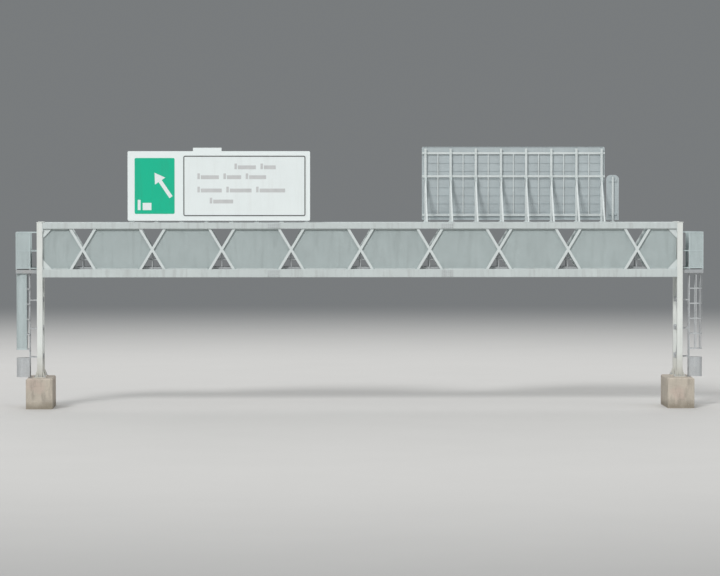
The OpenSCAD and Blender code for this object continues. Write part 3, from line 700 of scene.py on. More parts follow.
def mill_aluminium(look, tint_name, white_way=0.0):
    """Extruded aluminium, with white film on the side that faces white_way along Y."""
    paint, metal = colour(tint_name), 0.4
    drawn = look.put("ShaderNodeMapping", {"Vector": look.where, "Scale": (0.6, 6.0, 60.0)})
    lines = look.noise(drawn, 2.0, 3.0)
    look.patchy(paint, scale=1.1, contrast=0.26, grain=140.0,
                tone=look.ramp(lines, 0.3, 0.7, 0.94, 1.06))
    runs = look.layer(rain_streaks, shade(paint, 0.7), spread=4.2, stretch=2.4, amount=0.3)
    look.set("Metallic", metal)
    if white_way:
        film = look.over(look.use(facing_y, way=white_way)["mask"], colour("white"))
        look.set("Metallic", look.ramp(film, 0.0, 1.0, metal, 0.0, "LINEAR"))
    look.rough(runs, 0.2, 0.42)
    look.bump(lines, 0.0005, 0.25)


def sheeting(look, tint_name, dull):
    """Reflective film: a clear top coat over colour, with a faint cell pattern and dust."""
    look.patchy(colour(tint_name), scale=0.8, contrast=0.10, grain=60.0)
    cells = look.cells(look.where, 120.0, "Distance", "DISTANCE_TO_EDGE")
    look.over(look.ramp(cells, 0.0, 0.12, 0.12, 0.0), dull)
    runs = look.layer(rain_streaks, dull, spread=3.0, stretch=3.0, amount=0.14)
    look.rough(runs, 0.3, 0.36)
    look.set("Coat Weight", 0.3)
    look.bump(cells, 0.0004, 0.15)


def legend_film(look, tint_name):
    """Film that is cut to a legend and doesn't reflect."""
    patch = look.patchy(colour(tint_name), scale=3.0, contrast=0.3, grain=90.0)
    look.set("Roughness", look.ramp(patch["grain"], 0.3, 0.7, 0.42, 0.5))


def weathered_concrete(look):
    """Cast concrete: stains, rain streaks, air holes, damp at the foot and a painted highlight on
    the edges.
    """
    paint = colour("concrete")
    look.patchy(paint, scale=1.4, contrast=0.55, grain=110.0)
    fine, rosy = look.noise(look.where, 24.0, 8.0, 0.7), look.noise(look.where, 0.9, 2.0)
    look.over(look.ramp(fine, 0.5, 0.75, 0.0, 0.35), shade(paint, 0.66))
    look.over(look.ramp(rosy, 0.48, 0.66, 0.0, 0.4), (0.50, 0.38, 0.33))
    look.layer(rain_streaks, (0.22, 0.20, 0.17), spread=4.5, stretch=0.9, amount=0.5)
    look.layer(soiling, (0.20, 0.175, 0.13), thick_at=0.0, gone_at=0.55, ragged=0.5,
               amount=0.75)
    # Painted highlight: the concrete is paler where it turns over an edge
    look.layer(worn_edge, (0.58, 0.54, 0.47), radius=0.03, amount=0.6)
    look.set("Roughness", look.ramp(fine, 0.3, 0.7, 0.78, 0.95))
    pits = look.ramp(look.cells(look.where, 16.0, "Distance"), 0.05, 0.16)
    look.bump(look.calc("MULTIPLY_ADD", pits, 0.6, fine), 0.006, 0.6)


# What makes each finish, and what it is given
FINISH_MAKERS = {
    "concrete": (weathered_concrete,),
    "leg_paint": (leg_paint,),
    "boom_paint": (boom_paint,),
    "truss_paint": (truss_paint,),
    "galvanised": (galvanised,),
    "infill_sheet": (perforated_sheet, "infill", [(1, -INFILL_LOW.y - SHEET_T / 2)]),
    "enclosure_sheet": (perforated_sheet, "enclosure", [
        (0, ENCLOSURE_HIGH.x - ENCLOSURE_BAR / 2), (1, ENCLOSURE_HIGH.y - ENCLOSURE_BAR / 2)]),
    "screen_sheet": (perforated_sheet, "enclosure", (), (-CAGE_X, LADDER_Y)),
    "grating": (grating_steel,),
    "aluminium": (mill_aluminium, "aluminium"),
    "post_metal": (mill_aluminium, "post"),
    "left_sign_metal": (mill_aluminium, "aluminium", -1.0),
    "right_sign_metal": (mill_aluminium, "aluminium", 1.0),
    "white_sheeting": (sheeting, "white", (0.55, 0.56, 0.54)),
    "green_sheeting": (sheeting, "green", (0.03, 0.20, 0.13)),
    "dark_legend": (legend_film, "legend"),
    "pale_legend": (legend_film, "pale"),
}
FINISHES = {}

# Nodes with a finish of their own, where the others have their slot's
OWN_FINISH = {
    "truss_paint": ("front_truss", "rear_truss"),
    "screen_sheet": ("left_ladder_screen",),
    "post_metal": ("left_sign_posts", "left_sign_frame", "right_sign_posts",
                   "right_sign_frame", "side_panel_post"),
    "enclosure_sheet": ("left_enclosure", "right_enclosure"),
    "left_sign_metal": ("left_sign_face",),
    "right_sign_metal": ("right_sign_face", "side_panel_face"),
}


def finish(name):
    """A finish by name, made the first time it is asked for."""
    if name not in FINISHES:
        maker, *given = FINISH_MAKERS[name]
        FINISHES[name] = Finish(name if given else maker.__name__)
        maker(FINISHES[name], *given)
    return FINISHES[name].material


class GANTRY_OT_finishes(bpy.types.Operator):
    """Gives every piece of the frame its finish"""
    bl_idname = "gantry.finishes"
    bl_label = "Finishes"

    def execute(self, context):
        own = {node: look for look, nodes in OWN_FINISH.items() for node in nodes}
        for part in frame["record"]["subparts"]:
            node = part["node"]
            dressed(frame["nodes"][node], own.get(node, part["material_slot"]))
        return {"FINISHED"}


class GANTRY_OT_stage(bpy.types.Operator):
    """Makes the camera, the lights and the floor"""
    bl_idname = "gantry.stage"
    bl_label = "Camera, light and floor"

    def execute(self, context):
        studio = context.scene.gantry_studio
        self.camera(context, studio)
        self.light(context, studio)
        self.floor()
        return {"FINISHED"}

    def aim(self, thing, direction):
        """Turns a camera or a lamp to look in a direction."""
        thing.rotation_mode = "QUATERNION"
        thing.rotation_quaternion = Vector(direction).to_track_quat("-Z", "Y")
        return thing

    def camera(self, context, studio):
        deselect()
        bpy.ops.object.camera_add(location=studio.camera)
        line = Vector(studio.target) - Vector(studio.camera)
        camera = self.aim(context.active_object, line)
        camera.data.lens = studio.lens
        camera.data.clip_start, camera.data.clip_end = 1.0, 3000.0
        context.scene.camera = camera

    def light(self, context, studio):
        """Three suns, by direction, share of the key light and width in degrees, and a sky."""
        for name, direction, share, spread in (
                ("key_light", (0.42, 1.0, -0.72), 1.0, 14.0),
                ("fill_light", (-0.9, 0.5, -0.35), 0.22, 60.0),
                ("back_light", (0.1, -1.0, -0.8), 0.30, 50.0)):
            deselect()
            bpy.ops.object.light_add(type="SUN", location=(0, 0, 40))
            lamp = self.aim(context.active_object, direction)
            lamp.name = name
            lamp.data.energy = studio.sun * share
            lamp.data.angle = math.radians(spread)
        world = bpy.data.worlds.new("studio")
        context.scene.world = world
        world.use_nodes = True
        world.node_tree.nodes.clear()
        sky = Nodes(world.node_tree)
        height = sky.parts(sky.put("ShaderNodeTexCoord", out="Generated"))[2]
        glow = sky.mix(sky.ramp(height, 0.10, 0.75), colour("backdrop"), (studio.sky,) * 3)
        glow = sky.put("ShaderNodeBackground", {"Color": glow})
        sky.add("ShaderNodeOutputWorld", {"Surface": glow})
        context.scene.view_settings.view_transform = "Standard"

    def floor(self):
        """A pale disc that fades into the backdrop far behind the gantry."""
        floor = primitive(bpy.ops.mesh.primitive_circle_add, vertices=96, radius=2400.0,
                          fill_type="NGON")
        floor.name = "floor"
        look = Finish("studio_floor")
        look.patchy(colour("floor"), scale=0.2, contrast=0.06, grain=30.0)
        look.set("Roughness", 0.7)
        away = look.put("ShaderNodeVectorMath", (look.where,), "Value", operation="LENGTH")
        glow = look.put("ShaderNodeEmission", {"Color": (*colour("backdrop"), 1.0)})
        both = (look.ramp(away, 40.0, 150.0), look.shader.outputs[0], glow)
        look.feed(look.end.inputs["Surface"], look.put("ShaderNodeMixShader", both))
        floor.data.materials.append(look.material)


class GANTRY_OT_plinths(bpy.types.Operator):
    """Casts the concrete plinths with their formwork joints, tie holes and grout pads"""
    bl_idname = "gantry.plinths"
    bl_label = "Plinths"

    chamfer: length("Chamfer", "Chamfer of the top edges", 0.06)
    corner: length("Corner", "Radius of the upright edges and of the pads", 0.02)
    grout: length("Grout", "Thickness of the grout pads", 0.03)
    lip: length("Lip", "Lip of a grout pad round its base plate", 0.025)
    hole_r: length("Tie hole", "Radius of a tie hole at the face", 0.022)

    def execute(self, context):
        for end, side in ENDS:
            low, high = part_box(end + "_plinth")
            size = high - low
            size.z -= self.grout
            parts = [self.block(size)]
            parts += [self.grout_pad(face * TRUSS_Y, size.z) for face in SIDES]
            whole = joined(parts, end + "_plinth_concrete")
            whole.data.transform(at(side * LEG_X, 0, 0))
            finished(whole, "concrete", replaced=[end + "_plinth"])
        return {"FINISHED"}

    def block(self, size):
        half, board = size / 2, sizes().board
        piece = cuboid((-half.x, -half.y, 0), (half.x, half.y, size.z))
        bevelled(piece, self.chamfer, 1, lambda a, b: min(a.z, b.z) > size.z - NEAR)
        bevelled(piece, self.corner, 2, lambda a, b: abs(a.z - b.z) > size.z / 2)
        for row in range(1, int((size.z - self.chamfer) / board) + 1):
            self.board_joint(piece, size, row * board)
        return self.tie_holes(piece, half)

    def board_joint(self, piece, size, height):
        """A shallow groove all round at one height."""
        groove = sizes().groove
        for z in (height - groove, height, height + groove):
            with editing(piece):
                bpy.ops.mesh.bisect(plane_co=(0, 0, z), plane_no=(0, 0, 1))
        with editing(piece, edges=lambda a, b: max(abs(a.z - height), abs(b.z - height)) < NEAR):
            shrink = [1 - 2 * groove / side for side in (size.x, size.y)]
            bpy.ops.transform.resize(value=(*shrink, 1.0))

    def tie_holes(self, piece, half):
        """Round holes that the formwork ties left, on all four sides."""
        rows, columns_x, columns_y = (0.45, 2.5), (-0.4, 0.4), (-1.35, -0.45, 0.45, 1.35)
        depth, slope = 0.03, 0.008
        spots = [(x, way * half.y, (0, way, 0)) for x in columns_x for way in SIDES]
        spots += [(way * half.x, y, (way, 0, 0)) for y in columns_y for way in SIDES]
        places = [at(x, y, row * sizes().board, way) for row in rows for x, y, way in spots]
        cutter = primitive(bpy.ops.mesh.primitive_cone_add, vertices=16, depth=2 * depth,
                           radius1=self.hole_r - slope, radius2=self.hole_r + slope)
        cutter = copied(cutter, places, "tie_hole_cutters")
        piece = modified(piece, "BOOLEAN", operation="DIFFERENCE", object=cutter,
                         solver="EXACT")
        bpy.data.objects.remove(cutter)
        return piece

    def grout_pad(self, y, z):
        """A pad between the plinth's top and a base plate, let into the plinth."""
        half, sunk = BASE_W / 2 + self.lip, 0.01
        top = z + self.grout
        piece = cuboid((-half, y - half, z - sunk), (half, y + half, top))
        bevelled(piece, self.corner, 2, lambda a, b: min(a.z, b.z) > top - NEAR)
        return piece


class GANTRY_OT_anchors(bpy.types.Operator):
    """Sets the anchor bolts on the base plates"""
    bl_idname = "gantry.anchors"
    bl_label = "Anchor bolts"

    plate_t: length("Base plate", "Thickness of a base plate", 0.04)
    edge: length("Edge", "Edge of a base plate to its bolts", 0.06)

    def execute(self, context):
        across = sizes().anchor_across
        stud_r, stud_h = across * 0.27, across * 1.5
        anchor = joined([bolt(across), rod((0, 0, 0), (0, 0, stud_h), stud_r)], "anchor")
        reach = BASE_W / 2 - self.edge
        places = [at(side * LEG_X + x * reach, face * TRUSS_Y + y * reach,
                     LEG_FOOT + self.plate_t, spin=0.3 * (x + 2 * y))
                  for side in SIDES for face in SIDES
                  for x in (-1, 0, 1) for y in (-1, 0, 1) if x or y]
        fixed(anchor, places, "anchor_bolts")
        return {"FINISHED"}


class GANTRY_OT_boom_bolts(bpy.types.Operator):
    """Bolts the boom's end plates to the legs and its splices together"""
    bl_idname = "gantry.boom_bolts"
    bl_label = "Boom bolts"

    splice_len: length("Splice", "Length of a cover plate", 0.64)
    splice_t: length("Cover plate", "Thickness of a cover plate", 0.014)
    columns: number("Columns", "Bolt columns on a cover plate", 6)
    reach: length("Reach", "Chord to the end bolts past it, and half their distance", 0.085)

    def execute(self, context):
        places = self.splice_places() + self.end_places()
        fixed(bolt(sizes().bolt_across), places, "boom_bolts")
        return {"FINISHED"}

    def splice_places(self):
        """Rows of bolts on the cover plates of both chords."""
        splice_x = 1.25 * BRACE_PITCH
        step = self.splice_len / self.columns
        low_h, high_h = INFILL_LOW.z - BOOM_LOW, BOOM_TOP - INFILL_HIGH.z
        rows = [BOOM_LOW + share * low_h for share in (0.2, 0.4, 0.6, 0.8)]
        rows += [BOOM_TOP - share * high_h for share in (0.24, 0.5, 0.76)]
        cover = CHORD_W / 2 + self.splice_t
        return [at(side * splice_x + (column - (self.columns - 1) / 2) * step,
                   face * (TRUSS_Y + way * cover), z, (0, face * way, 0))
                for side in SIDES for face in SIDES for way in SIDES
                for z in rows for column in range(self.columns)]

    def end_places(self):
        """Two bolts past each chord, on the plates that end it."""
        return [at(side * (BOOM_END - END_PLATE_T), face * TRUSS_Y + way * self.reach, z,
                   (-side, 0, 0))
                for side in SIDES for face in SIDES
                for z in (INFILL_LOW.z + self.reach, INFILL_HIGH.z - self.reach)
                for way in SIDES]


class GANTRY_OT_gratings(bpy.types.Operator):
    """Lays the open gratings of the walkway, and frames and gratings of the landings"""
    bl_idname = "gantry.gratings"
    bl_label = "Gratings"

    joint: length("Joint", "Joint between two gratings", 0.01)
    frame_w: length("Frame bar", "Width of a landing's frame bars", 0.08)
    deck_t: length("Grating", "Depth of a grating", 0.04)
    hatch: length("Hatch", "Ladder's plane to the edge of the hatch", 0.05)
    hatch_half: length("Hatch half width", "Half of the hatch's width", 0.35)

    def execute(self, context):
        gap = self.joint / 2
        first, last = BEAM_XS[0], BEAM_XS[-1]
        bay = self.bay(gap - BEAM_PITCH / 2, BEAM_PITCH / 2 - gap)
        bays = copied(bay, [at(x + BEAM_PITCH / 2, 0, 0) for x in BEAM_XS[:-1]], "bays")
        ends = [self.bay(last + gap, LEG_X - gap), self.bay(gap - LEG_X, first - gap)]
        finished(joined([bays, *ends], "walkway_grating"), "grating",
                 replaced=["walkway_deck"])
        for end, side in ENDS:
            self.landing(end, side)
        return {"FINISHED"}

    def bay(self, start, stop):
        """One grating of the walkway."""
        return grating((start, DECK_LOW.y, DECK_LOW.z), (stop, DECK_HIGH.y, DECK_HIGH.z))

    def landing(self, end, side):
        """Frame and grating with the ladder's hatch, modelled on the right end."""
        low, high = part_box("right_landing")
        w, start, stop, edge = self.frame_w, LEG_X + TIE_W / 2, high.x, high.y
        seat, gap, lip_drop = high.z - self.deck_t, self.joint / 2, 0.004
        hatch_x = LADDER_X - self.hatch
        hatch_low, hatch_high = LADDER_Y - self.hatch_half, LADDER_Y + self.hatch_half
        bars = [channel((x_low, y_low, low.z), (x_high, y_high, seat), way)
                for x_low, x_high, y_low, y_high, way in (
                    (start, stop, -edge, w - edge, (0, 1, 0)),
                    (start, stop, edge - w, edge, (0, -1, 0)),
                    (stop - w, stop, w - edge, edge - w, (-1, 0, 0)),
                    (start, stop - w, hatch_high, hatch_high + w, (0, 1, 0)))]
        tops = [grating((LEG_X + gap, y_low, seat), (x, y_high, high.z))
                for x, y_low, y_high in ((stop, hatch_high, edge),
                                         (hatch_x, hatch_low, hatch_high),
                                         (stop, -edge, hatch_low))]
        lip = cuboid((stop - w, hatch_low, seat), (stop, hatch_high, high.z - lip_drop))
        whole = joined([*bars, *tops, lip], end + "_landing_grating")
        if side < 0:
            whole.data.transform(Matrix.Scale(-1, 4, (1, 0, 0)))
            with editing(whole):
                bpy.ops.mesh.flip_normals()
        finished(whole, "grating", replaced=[end + "_landing"])


class GANTRY_OT_infill_trims(bpy.types.Operator):
    """Screws the flats that hold the infill sheets along the chords"""
    bl_idname = "gantry.infill_trims"
    bl_label = "Infill trims"

    trim_t: length("Flat", "Thickness of a flat", 0.006)
    clear: length("Clear of braces", "Crossing to the end of a flat", 0.76)
    last: length("Last end", "End of the boom's end panel to the end of its flat", 0.5)
    gap: length("Gap", "Chord to the edge of a flat", 0.004)

    def execute(self, context):
        spans = [(i * BRACE_PITCH + self.clear, (i + 1) * BRACE_PITCH - self.clear)
                 for i in range(-BRACES_A_SIDE, BRACES_A_SIDE)]
        last = BRACES_A_SIDE * BRACE_PITCH
        stop = BOOM_END - END_PLATE_T - self.last
        spans += [(last + self.clear, stop), (-stop, -last - self.clear)]
        width, sheet_y, let_in = sizes().trim, -INFILL_LOW.y, 0.001
        flats, screws = [], []
        for a, b in spans:
            count = round((b - a) / sizes().screw_pitch)
            step = (b - a) / count
            for face in SIDES:
                near, far = sorted((face * (sheet_y - let_in), face * (sheet_y + self.trim_t)))
                for z in (INFILL_LOW.z + self.gap, INFILL_HIGH.z - width - self.gap):
                    flats.append(cuboid((a, near, z), (b, far, z + width)))
                    screws += [at(a + (i + 0.5) * step, face * (sheet_y + self.trim_t),
                                  z + width / 2, (0, face, 0)) for i in range(count)]
        finished(joined(flats, "infill_flats"), "boom_paint")
        fixed(bolt(TRIM_SCREW), screws, "infill_screws")
        return {"FINISHED"}


class GANTRY_OT_joint_plates(bpy.types.Operator):
    """Bolts the ties to the legs, the beams to the chords and the landings' sheets"""
    bl_idname = "gantry.joint_plates"
    bl_label = "Joint plates"

    tie_plate: length("Tie plate", "Side of the plate at a tie's end", 0.27)
    plate_t: length("Plate", "Thickness of the plates", 0.014)
    cleat: length("Cleat", "Side of the cleat at a beam's end", 0.10)
    cleat_t: length("Cleat thickness", "Thickness of the cleats", 0.008)
    sheet_post: length("Sheet post", "Leg's centre line to the first post of a landing", 0.525)
    screw_rows: number("Screw rows", "Rows of screws on a landing's post", 7)

    def execute(self, context):
        spot = self.tie_plate / 2 - sizes().small_across
        plate = bolted_plate((self.tie_plate, self.tie_plate, self.plate_t),
                             [(x, y) for x in (-spot, spot) for y in (-spot, spot)],
                             sizes().small_across)
        fixed(plate, [at(side * LEG_X, way * TIES_HIGH.y, z, (0, -way, 0))
                      for side in SIDES for way in SIDES for z in TIE_ZS], "tie_plates")
        cleats = []
        for low, high in (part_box("floor_beams"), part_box("roof_bracing")):
            cleats += [at(x + (BEAM_W + self.cleat) / 2, way * (TRUSS_Y - CHORD_W / 2),
                          (low.z + high.z) / 2, (0, -way, 0))
                       for x in BEAM_XS for way in SIDES]
        fixed(self.beam_cleat(), cleats, "beam_cleats")
        fixed(bolt(SCREW), self.sheet_screws(), "landing_screws")
        return {"FINISHED"}

    def beam_cleat(self):
        """An angle on a chord's inner side, which holds the side of a beam."""
        half, thick = self.cleat / 2, self.cleat_t
        bolt_ys, bolt_x, bolt_z = (-0.026, 0.026), 0.01, 0.06
        flange = bolted_plate((self.cleat, self.cleat, thick), [(bolt_x, y) for y in bolt_ys],
                              SCREW)
        web = softened(cuboid((-half, -half, thick), (thick - half, half, self.cleat)), 0.002)
        heads = bolts(SCREW, [at(thick - half, y, bolt_z, (1, 0, 0)) for y in bolt_ys])
        return joined([flange, web, heads], "beam_cleat")

    def sheet_screws(self):
        """Screws up the posts of the landings, on their outer sides."""
        low, high, bar = ENCLOSURE_LOW, ENCLOSURE_HIGH, ENCLOSURE_BAR / 2
        step = (high.z - low.z - 4 * bar) / (self.screw_rows - 1)
        return [at(side * x, way * high.y, low.z + 2 * bar + i * step, (0, way, 0))
                for side in SIDES for way in SIDES for i in range(self.screw_rows)
                for x in (LEG_X + self.sheet_post, high.x - bar)]


class GANTRY_OT_rail_fittings(bpy.types.Operator):
    """Slides the tube fittings over the guardrails at each stanchion"""
    bl_idname = "gantry.rail_fittings"
    bl_label = "Guardrail fittings"

    rail_r: length("Rail", "Radius of the rails", 0.024)
    rail_h: length("Rail height", "Top rail above the walkway", 1.10)
    rail_y: length("Rail plane", "Midspan plane of the boom to the rails", 0.60)
    sleeve: length("Sleeve", "Half the length of a fitting", 0.065)
    sleeve_t: length("Wall", "Wall of a fitting", 0.007)

    def execute(self, context):
        grub_low, grub_high, grub_r = -0.036, 0.034, 0.007
        sleeve = rod((-self.sleeve, 0, 0), (self.sleeve, 0, 0), self.rail_r + self.sleeve_t, 16)
        grub = rod((0, 0, grub_low), (0, 0, grub_high), grub_r, 8)
        fitting = joined([softened(sleeve, 0.003), grub], "fitting")
        places = [at(x, face * self.rail_y, DECK_HIGH.z + share * self.rail_h - self.rail_r)
                  for x in BEAM_XS for face in SIDES for share in (0.5, 1.0)]
        fixed(fitting, places, "rail_fittings")
        return {"FINISHED"}


class GANTRY_OT_ladder_fittings(bpy.types.Operator):
    """Bolts the ladders, cages and screen, and hangs the lock on the guard at the foot"""
    bl_idname = "gantry.ladder_fittings"
    bl_label = "Ladder and cage fittings"

    stile_t: length("Stile", "Half the thickness of a stile", 0.015)
    screen_t: length("Screen", "Thickness of the screen on the left cage", 0.0045)
    hoop_h: length("Hoop", "Height of a hoop", 0.05)
    hoops: number("Hoops", "Hoops of a cage", 6)
    guard_r: length("Guard", "Radius of the guard at the ladder's foot", 0.356)

    def execute(self, context):
        foot_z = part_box("right_ladder")[0].z
        stiles = [(side * LADDER_X, hand) for side in SIDES for hand in SIDES]
        fixed(bolt(SCREW), [at(x, LADDER_Y + hand * (STILE_Y + self.stile_t), z, (0, hand, 0))
                            for x, hand in stiles for z in TIE_ZS], "ladder_bolts")
        cup_low, cup_high, cup_r, cup_edge = -0.002, 0.0028, 0.011, 0.002
        cup = softened(rod((0, 0, cup_low), (0, 0, cup_high), cup_r, 16), cup_edge, 3)
        fixed(cup, self.cage_bolts(), "cage_bolts")
        foot_size, bolt_at = (0.17, 0.09, 0.012), 0.058
        foot = bolted_plate(foot_size, [(-bolt_at, 0), (bolt_at, 0)], sizes().small_across)
        fixed(foot, [at(x, LADDER_Y + hand * STILE_Y, foot_z) for x, hand in stiles],
              "ladder_feet")
        finished(joined([self.guard_lock(side) for side in SIDES], "guard_locks"),
                 "galvanised")
        return {"FINISHED"}

    def cage_bolts(self):
        """Cup heads where the straps cross the hoops, over the screen on the left."""
        low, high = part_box("right_ladder_cage")
        step = (high.z - self.hoop_h - low.z) / (self.hoops - 1)
        places = []
        for end, side in ENDS:
            for hoop in range(self.hoops):
                sheets = 2 if hoop in (0, self.hoops - 1) else 1
                reach = CAGE_R + (self.screen_t * sheets if end == "left" else 0.0)
                z = low.z + hoop * step + self.hoop_h / 2
                for turn in (-90, -45, 0, 45, 90):
                    turn = math.radians(turn)
                    way = (side * math.cos(turn), math.sin(turn), 0)
                    places.append(at(side * CAGE_X + reach * way[0],
                                     LADDER_Y + reach * way[1], z, way))
        return places

    def on_guard(self, turn, z):
        """A point on the right ladder's guard, by its turn round the cage's axis."""
        x, y = self.guard_r * math.cos(turn), self.guard_r * math.sin(turn)
        return CAGE_X + x, LADDER_Y + y, z

    def guard_lock(self, side):
        """Two hinge barrels, a hasp and a padlock on one guard."""
        low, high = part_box("right_ladder_guard")
        hinge_turn, hasp_turn, barrel, barrel_r = -1.1, 0.7, 0.10, 0.006
        feet = (low.z + 0.16, high.z - 0.12 - barrel)
        barrels = [rod(self.on_guard(hinge_turn, z), self.on_guard(hinge_turn, z + barrel),
                       barrel_r) for z in feet]
        hasp = softened(cuboid((-0.004, -0.06, -0.02), (0.004, 0.06, 0.02)), 0.002)
        body = softened(cuboid((-0.012, -0.022, -0.075), (0.0, 0.022, -0.03)), 0.004, 2)
        shackle = primitive(bpy.ops.mesh.primitive_torus_add, major_segments=16,
                            minor_segments=8, major_radius=0.014, minor_radius=0.003,
                            location=(-0.006, 0, -0.03), rotation=(0, math.pi / 2, 0))
        lock = joined([hasp, body, shackle], "lock")
        middle = self.on_guard(hasp_turn, (low.z + high.z) / 2)
        lock.data.transform(at(*middle, spin=hasp_turn))
        whole = joined([*barrels, lock], "lock")
        if side < 0:
            whole.data.transform(at(0, 2 * LADDER_Y, 0, spin=math.pi))
        return whole


class GANTRY_OT_sign_fixings(bpy.types.Operator):
    """Bolts the posts to the boom and the rails to the posts"""
    bl_idname = "gantry.sign_fixings"
    bl_label = "Sign fixings"

    post_edge: length("Outer post", "Edge of a sign to its outer post", 0.18)
    post_pitch: length("Post pitch", "Distance between posts, at most", 1.40)
    post_w: length("Post", "Width of a post", 0.12)
    foot_t: length("Foot plate", "Thickness of a foot plate", 0.025)
    foot_bolt: length("Foot bolts", "Post's centre line to its foot bolts", 0.088)
    mid_rail: length("Middle rail", "Foot of a sign to its middle rail", 2.33)
    rail_h: length("Rail", "Height of the rails", 0.12)
    plank: length("Plank", "Height of a plank, at most", 0.47)
    rib_t: length("Rib", "Thickness of the ribs behind a sign", 0.012)
    clip_x: length("Clip", "Middle of an upright to the clips beside it", 0.043)
    post_drop: length("Post drop", "Top of a sign to the top of its posts", 0.10)
    strut_h: length("Strut", "Height where a strut meets its post", 2.30)
    sheet: length("Sheet", "Thickness of the cleats, clips and strut plates", 0.008)

    def execute(self, context):
        feet, cleats, plates, clips, caps = [], [], [], [], []
        for end, face in ENDS:
            rail_low, rail_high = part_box(end + "_sign_frame")
            rails = (rail_low.z + self.rail_h / 2,
                     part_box(end + "_sign_face")[0].z + self.mid_rail,
                     rail_high.z - self.rail_h / 2)
            posts = self.post_places(end)
            for x in posts:
                feet += [(x, TRUSS_Y), (x, -TRUSS_Y)]
                cleats += [at(x, face * (TRUSS_Y + self.post_w / 2), z, (0, face, 0))
                           for z in rails]
                plates.append(at(x, face * TRUSS_Y, BOOM_TOP + self.strut_h,
                                 spin=0.0 if face < 0 else math.pi))
                caps.append(at(x, face * TRUSS_Y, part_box(end + "_sign_posts")[1].z))
            back = rail_low.y if face < 0 else rail_high.y
            clips += [at(x, back, z, (0, -face, 0)) for x, z in self.clip_places(end, posts)
                      if min(abs(z - rail) for rail in rails) > self.rail_h]
        low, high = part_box("side_panel_post")
        feet.append(((low.x + high.x) / 2, TRUSS_Y))
        caps.append(at((low.x + high.x) / 2, TRUSS_Y, high.z))
        heads = [at(x + dx * self.foot_bolt, y + dy * self.foot_bolt, BOOM_TOP + self.foot_t)
                 for x, y in feet for dx in SIDES for dy in SIDES]
        fixed(bolt(sizes().small_across), heads, "foot_bolts")
        fixed(self.cleat(), cleats, "rail_cleats", "aluminium", "post_metal")
        fixed(self.strut_plates(), plates, "strut_plates", "aluminium", "post_metal")
        clip_size, cap_lip = (0.036, 0.05, self.sheet), 0.004
        fixed(bolted_plate(clip_size, [(0, 0)], CLIP_BOLT), clips, "plank_clips")
        half = self.post_w / 2 + cap_lip
        cap = softened(cuboid((-half, -half, 0), (half, half, self.sheet)), 0.003)
        fixed(cap, caps, "post_caps", "aluminium", "post_metal")
        return {"FINISHED"}

    def post_places(self, end):
        """X of each post behind a sign."""
        low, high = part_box(end + "_sign_face")
        row = high.x - low.x - 2 * self.post_edge
        bays = math.ceil(row / self.post_pitch)
        return [low.x + self.post_edge + i * row / bays for i in range(bays + 1)]

    def clip_places(self, end, posts):
        """X and height of the clips beside each upright between two posts, on every rib."""
        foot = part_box(end + "_sign_face")[0].z
        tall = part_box(end + "_sign_posts")[1].z + self.post_drop - foot
        planks = math.ceil(tall / self.plank)
        levels = [foot + i * (tall - self.rib_t) / planks + self.rib_t / 2
                  for i in range(1, planks)]
        return [((a + b) / 2 + side * self.clip_x, z) for a, b in zip(posts, posts[1:])
                for side in SIDES for z in levels]

    def cleat(self):
        """A cleat that wraps a post where a rail crosses it; Z is away from the post."""
        inner, back, tall, bolt_xs = self.post_w / 2, -self.post_w, 0.04, (-0.035, 0.035)
        outer, rear = inner + self.sheet, back - self.sheet
        strap = [cuboid((-outer, -tall, rear), (outer, tall, back)),
                 cuboid((-outer, -tall, back), (-inner, tall, 0.0)),
                 cuboid((inner, -tall, back), (outer, tall, 0.0))]
        heads = bolts(SCREW, [at(x, 0, rear, (0, 0, -1)) for x in bolt_xs])
        return joined([*strap, heads], "cleat")

    def strut_plates(self):
        """Plates on both sides of a post where its strut meets it: Y is back, Z is up."""
        y_low, y_high, z_low, z_high = -0.05, 0.26, -0.34, 0.08
        spots = ((0, 0.04), (0, -0.10), (0.13, -0.08), (0.19, -0.17))
        plates = []
        for hand in SIDES:
            outer = hand * (self.post_w / 2 + self.sheet)
            a, b = sorted((hand * self.post_w / 2, outer))
            plate = cuboid((a, y_low, z_low), (b, y_high, z_high))
            for width, z in ((0.12, z_low), (0.10, z_high)):
                bevelled(plate, width, 1, lambda p, q: min(p.y, q.y) > y_high - NEAR
                         and max(abs(p.z - z), abs(q.z - z)) < NEAR)
            heads = bolts(sizes().small_across, [at(outer, y, z, (hand, 0, 0))
                                                 for y, z in spots])
            plates += [plate, heads]
        return joined(plates, "strut_plates")


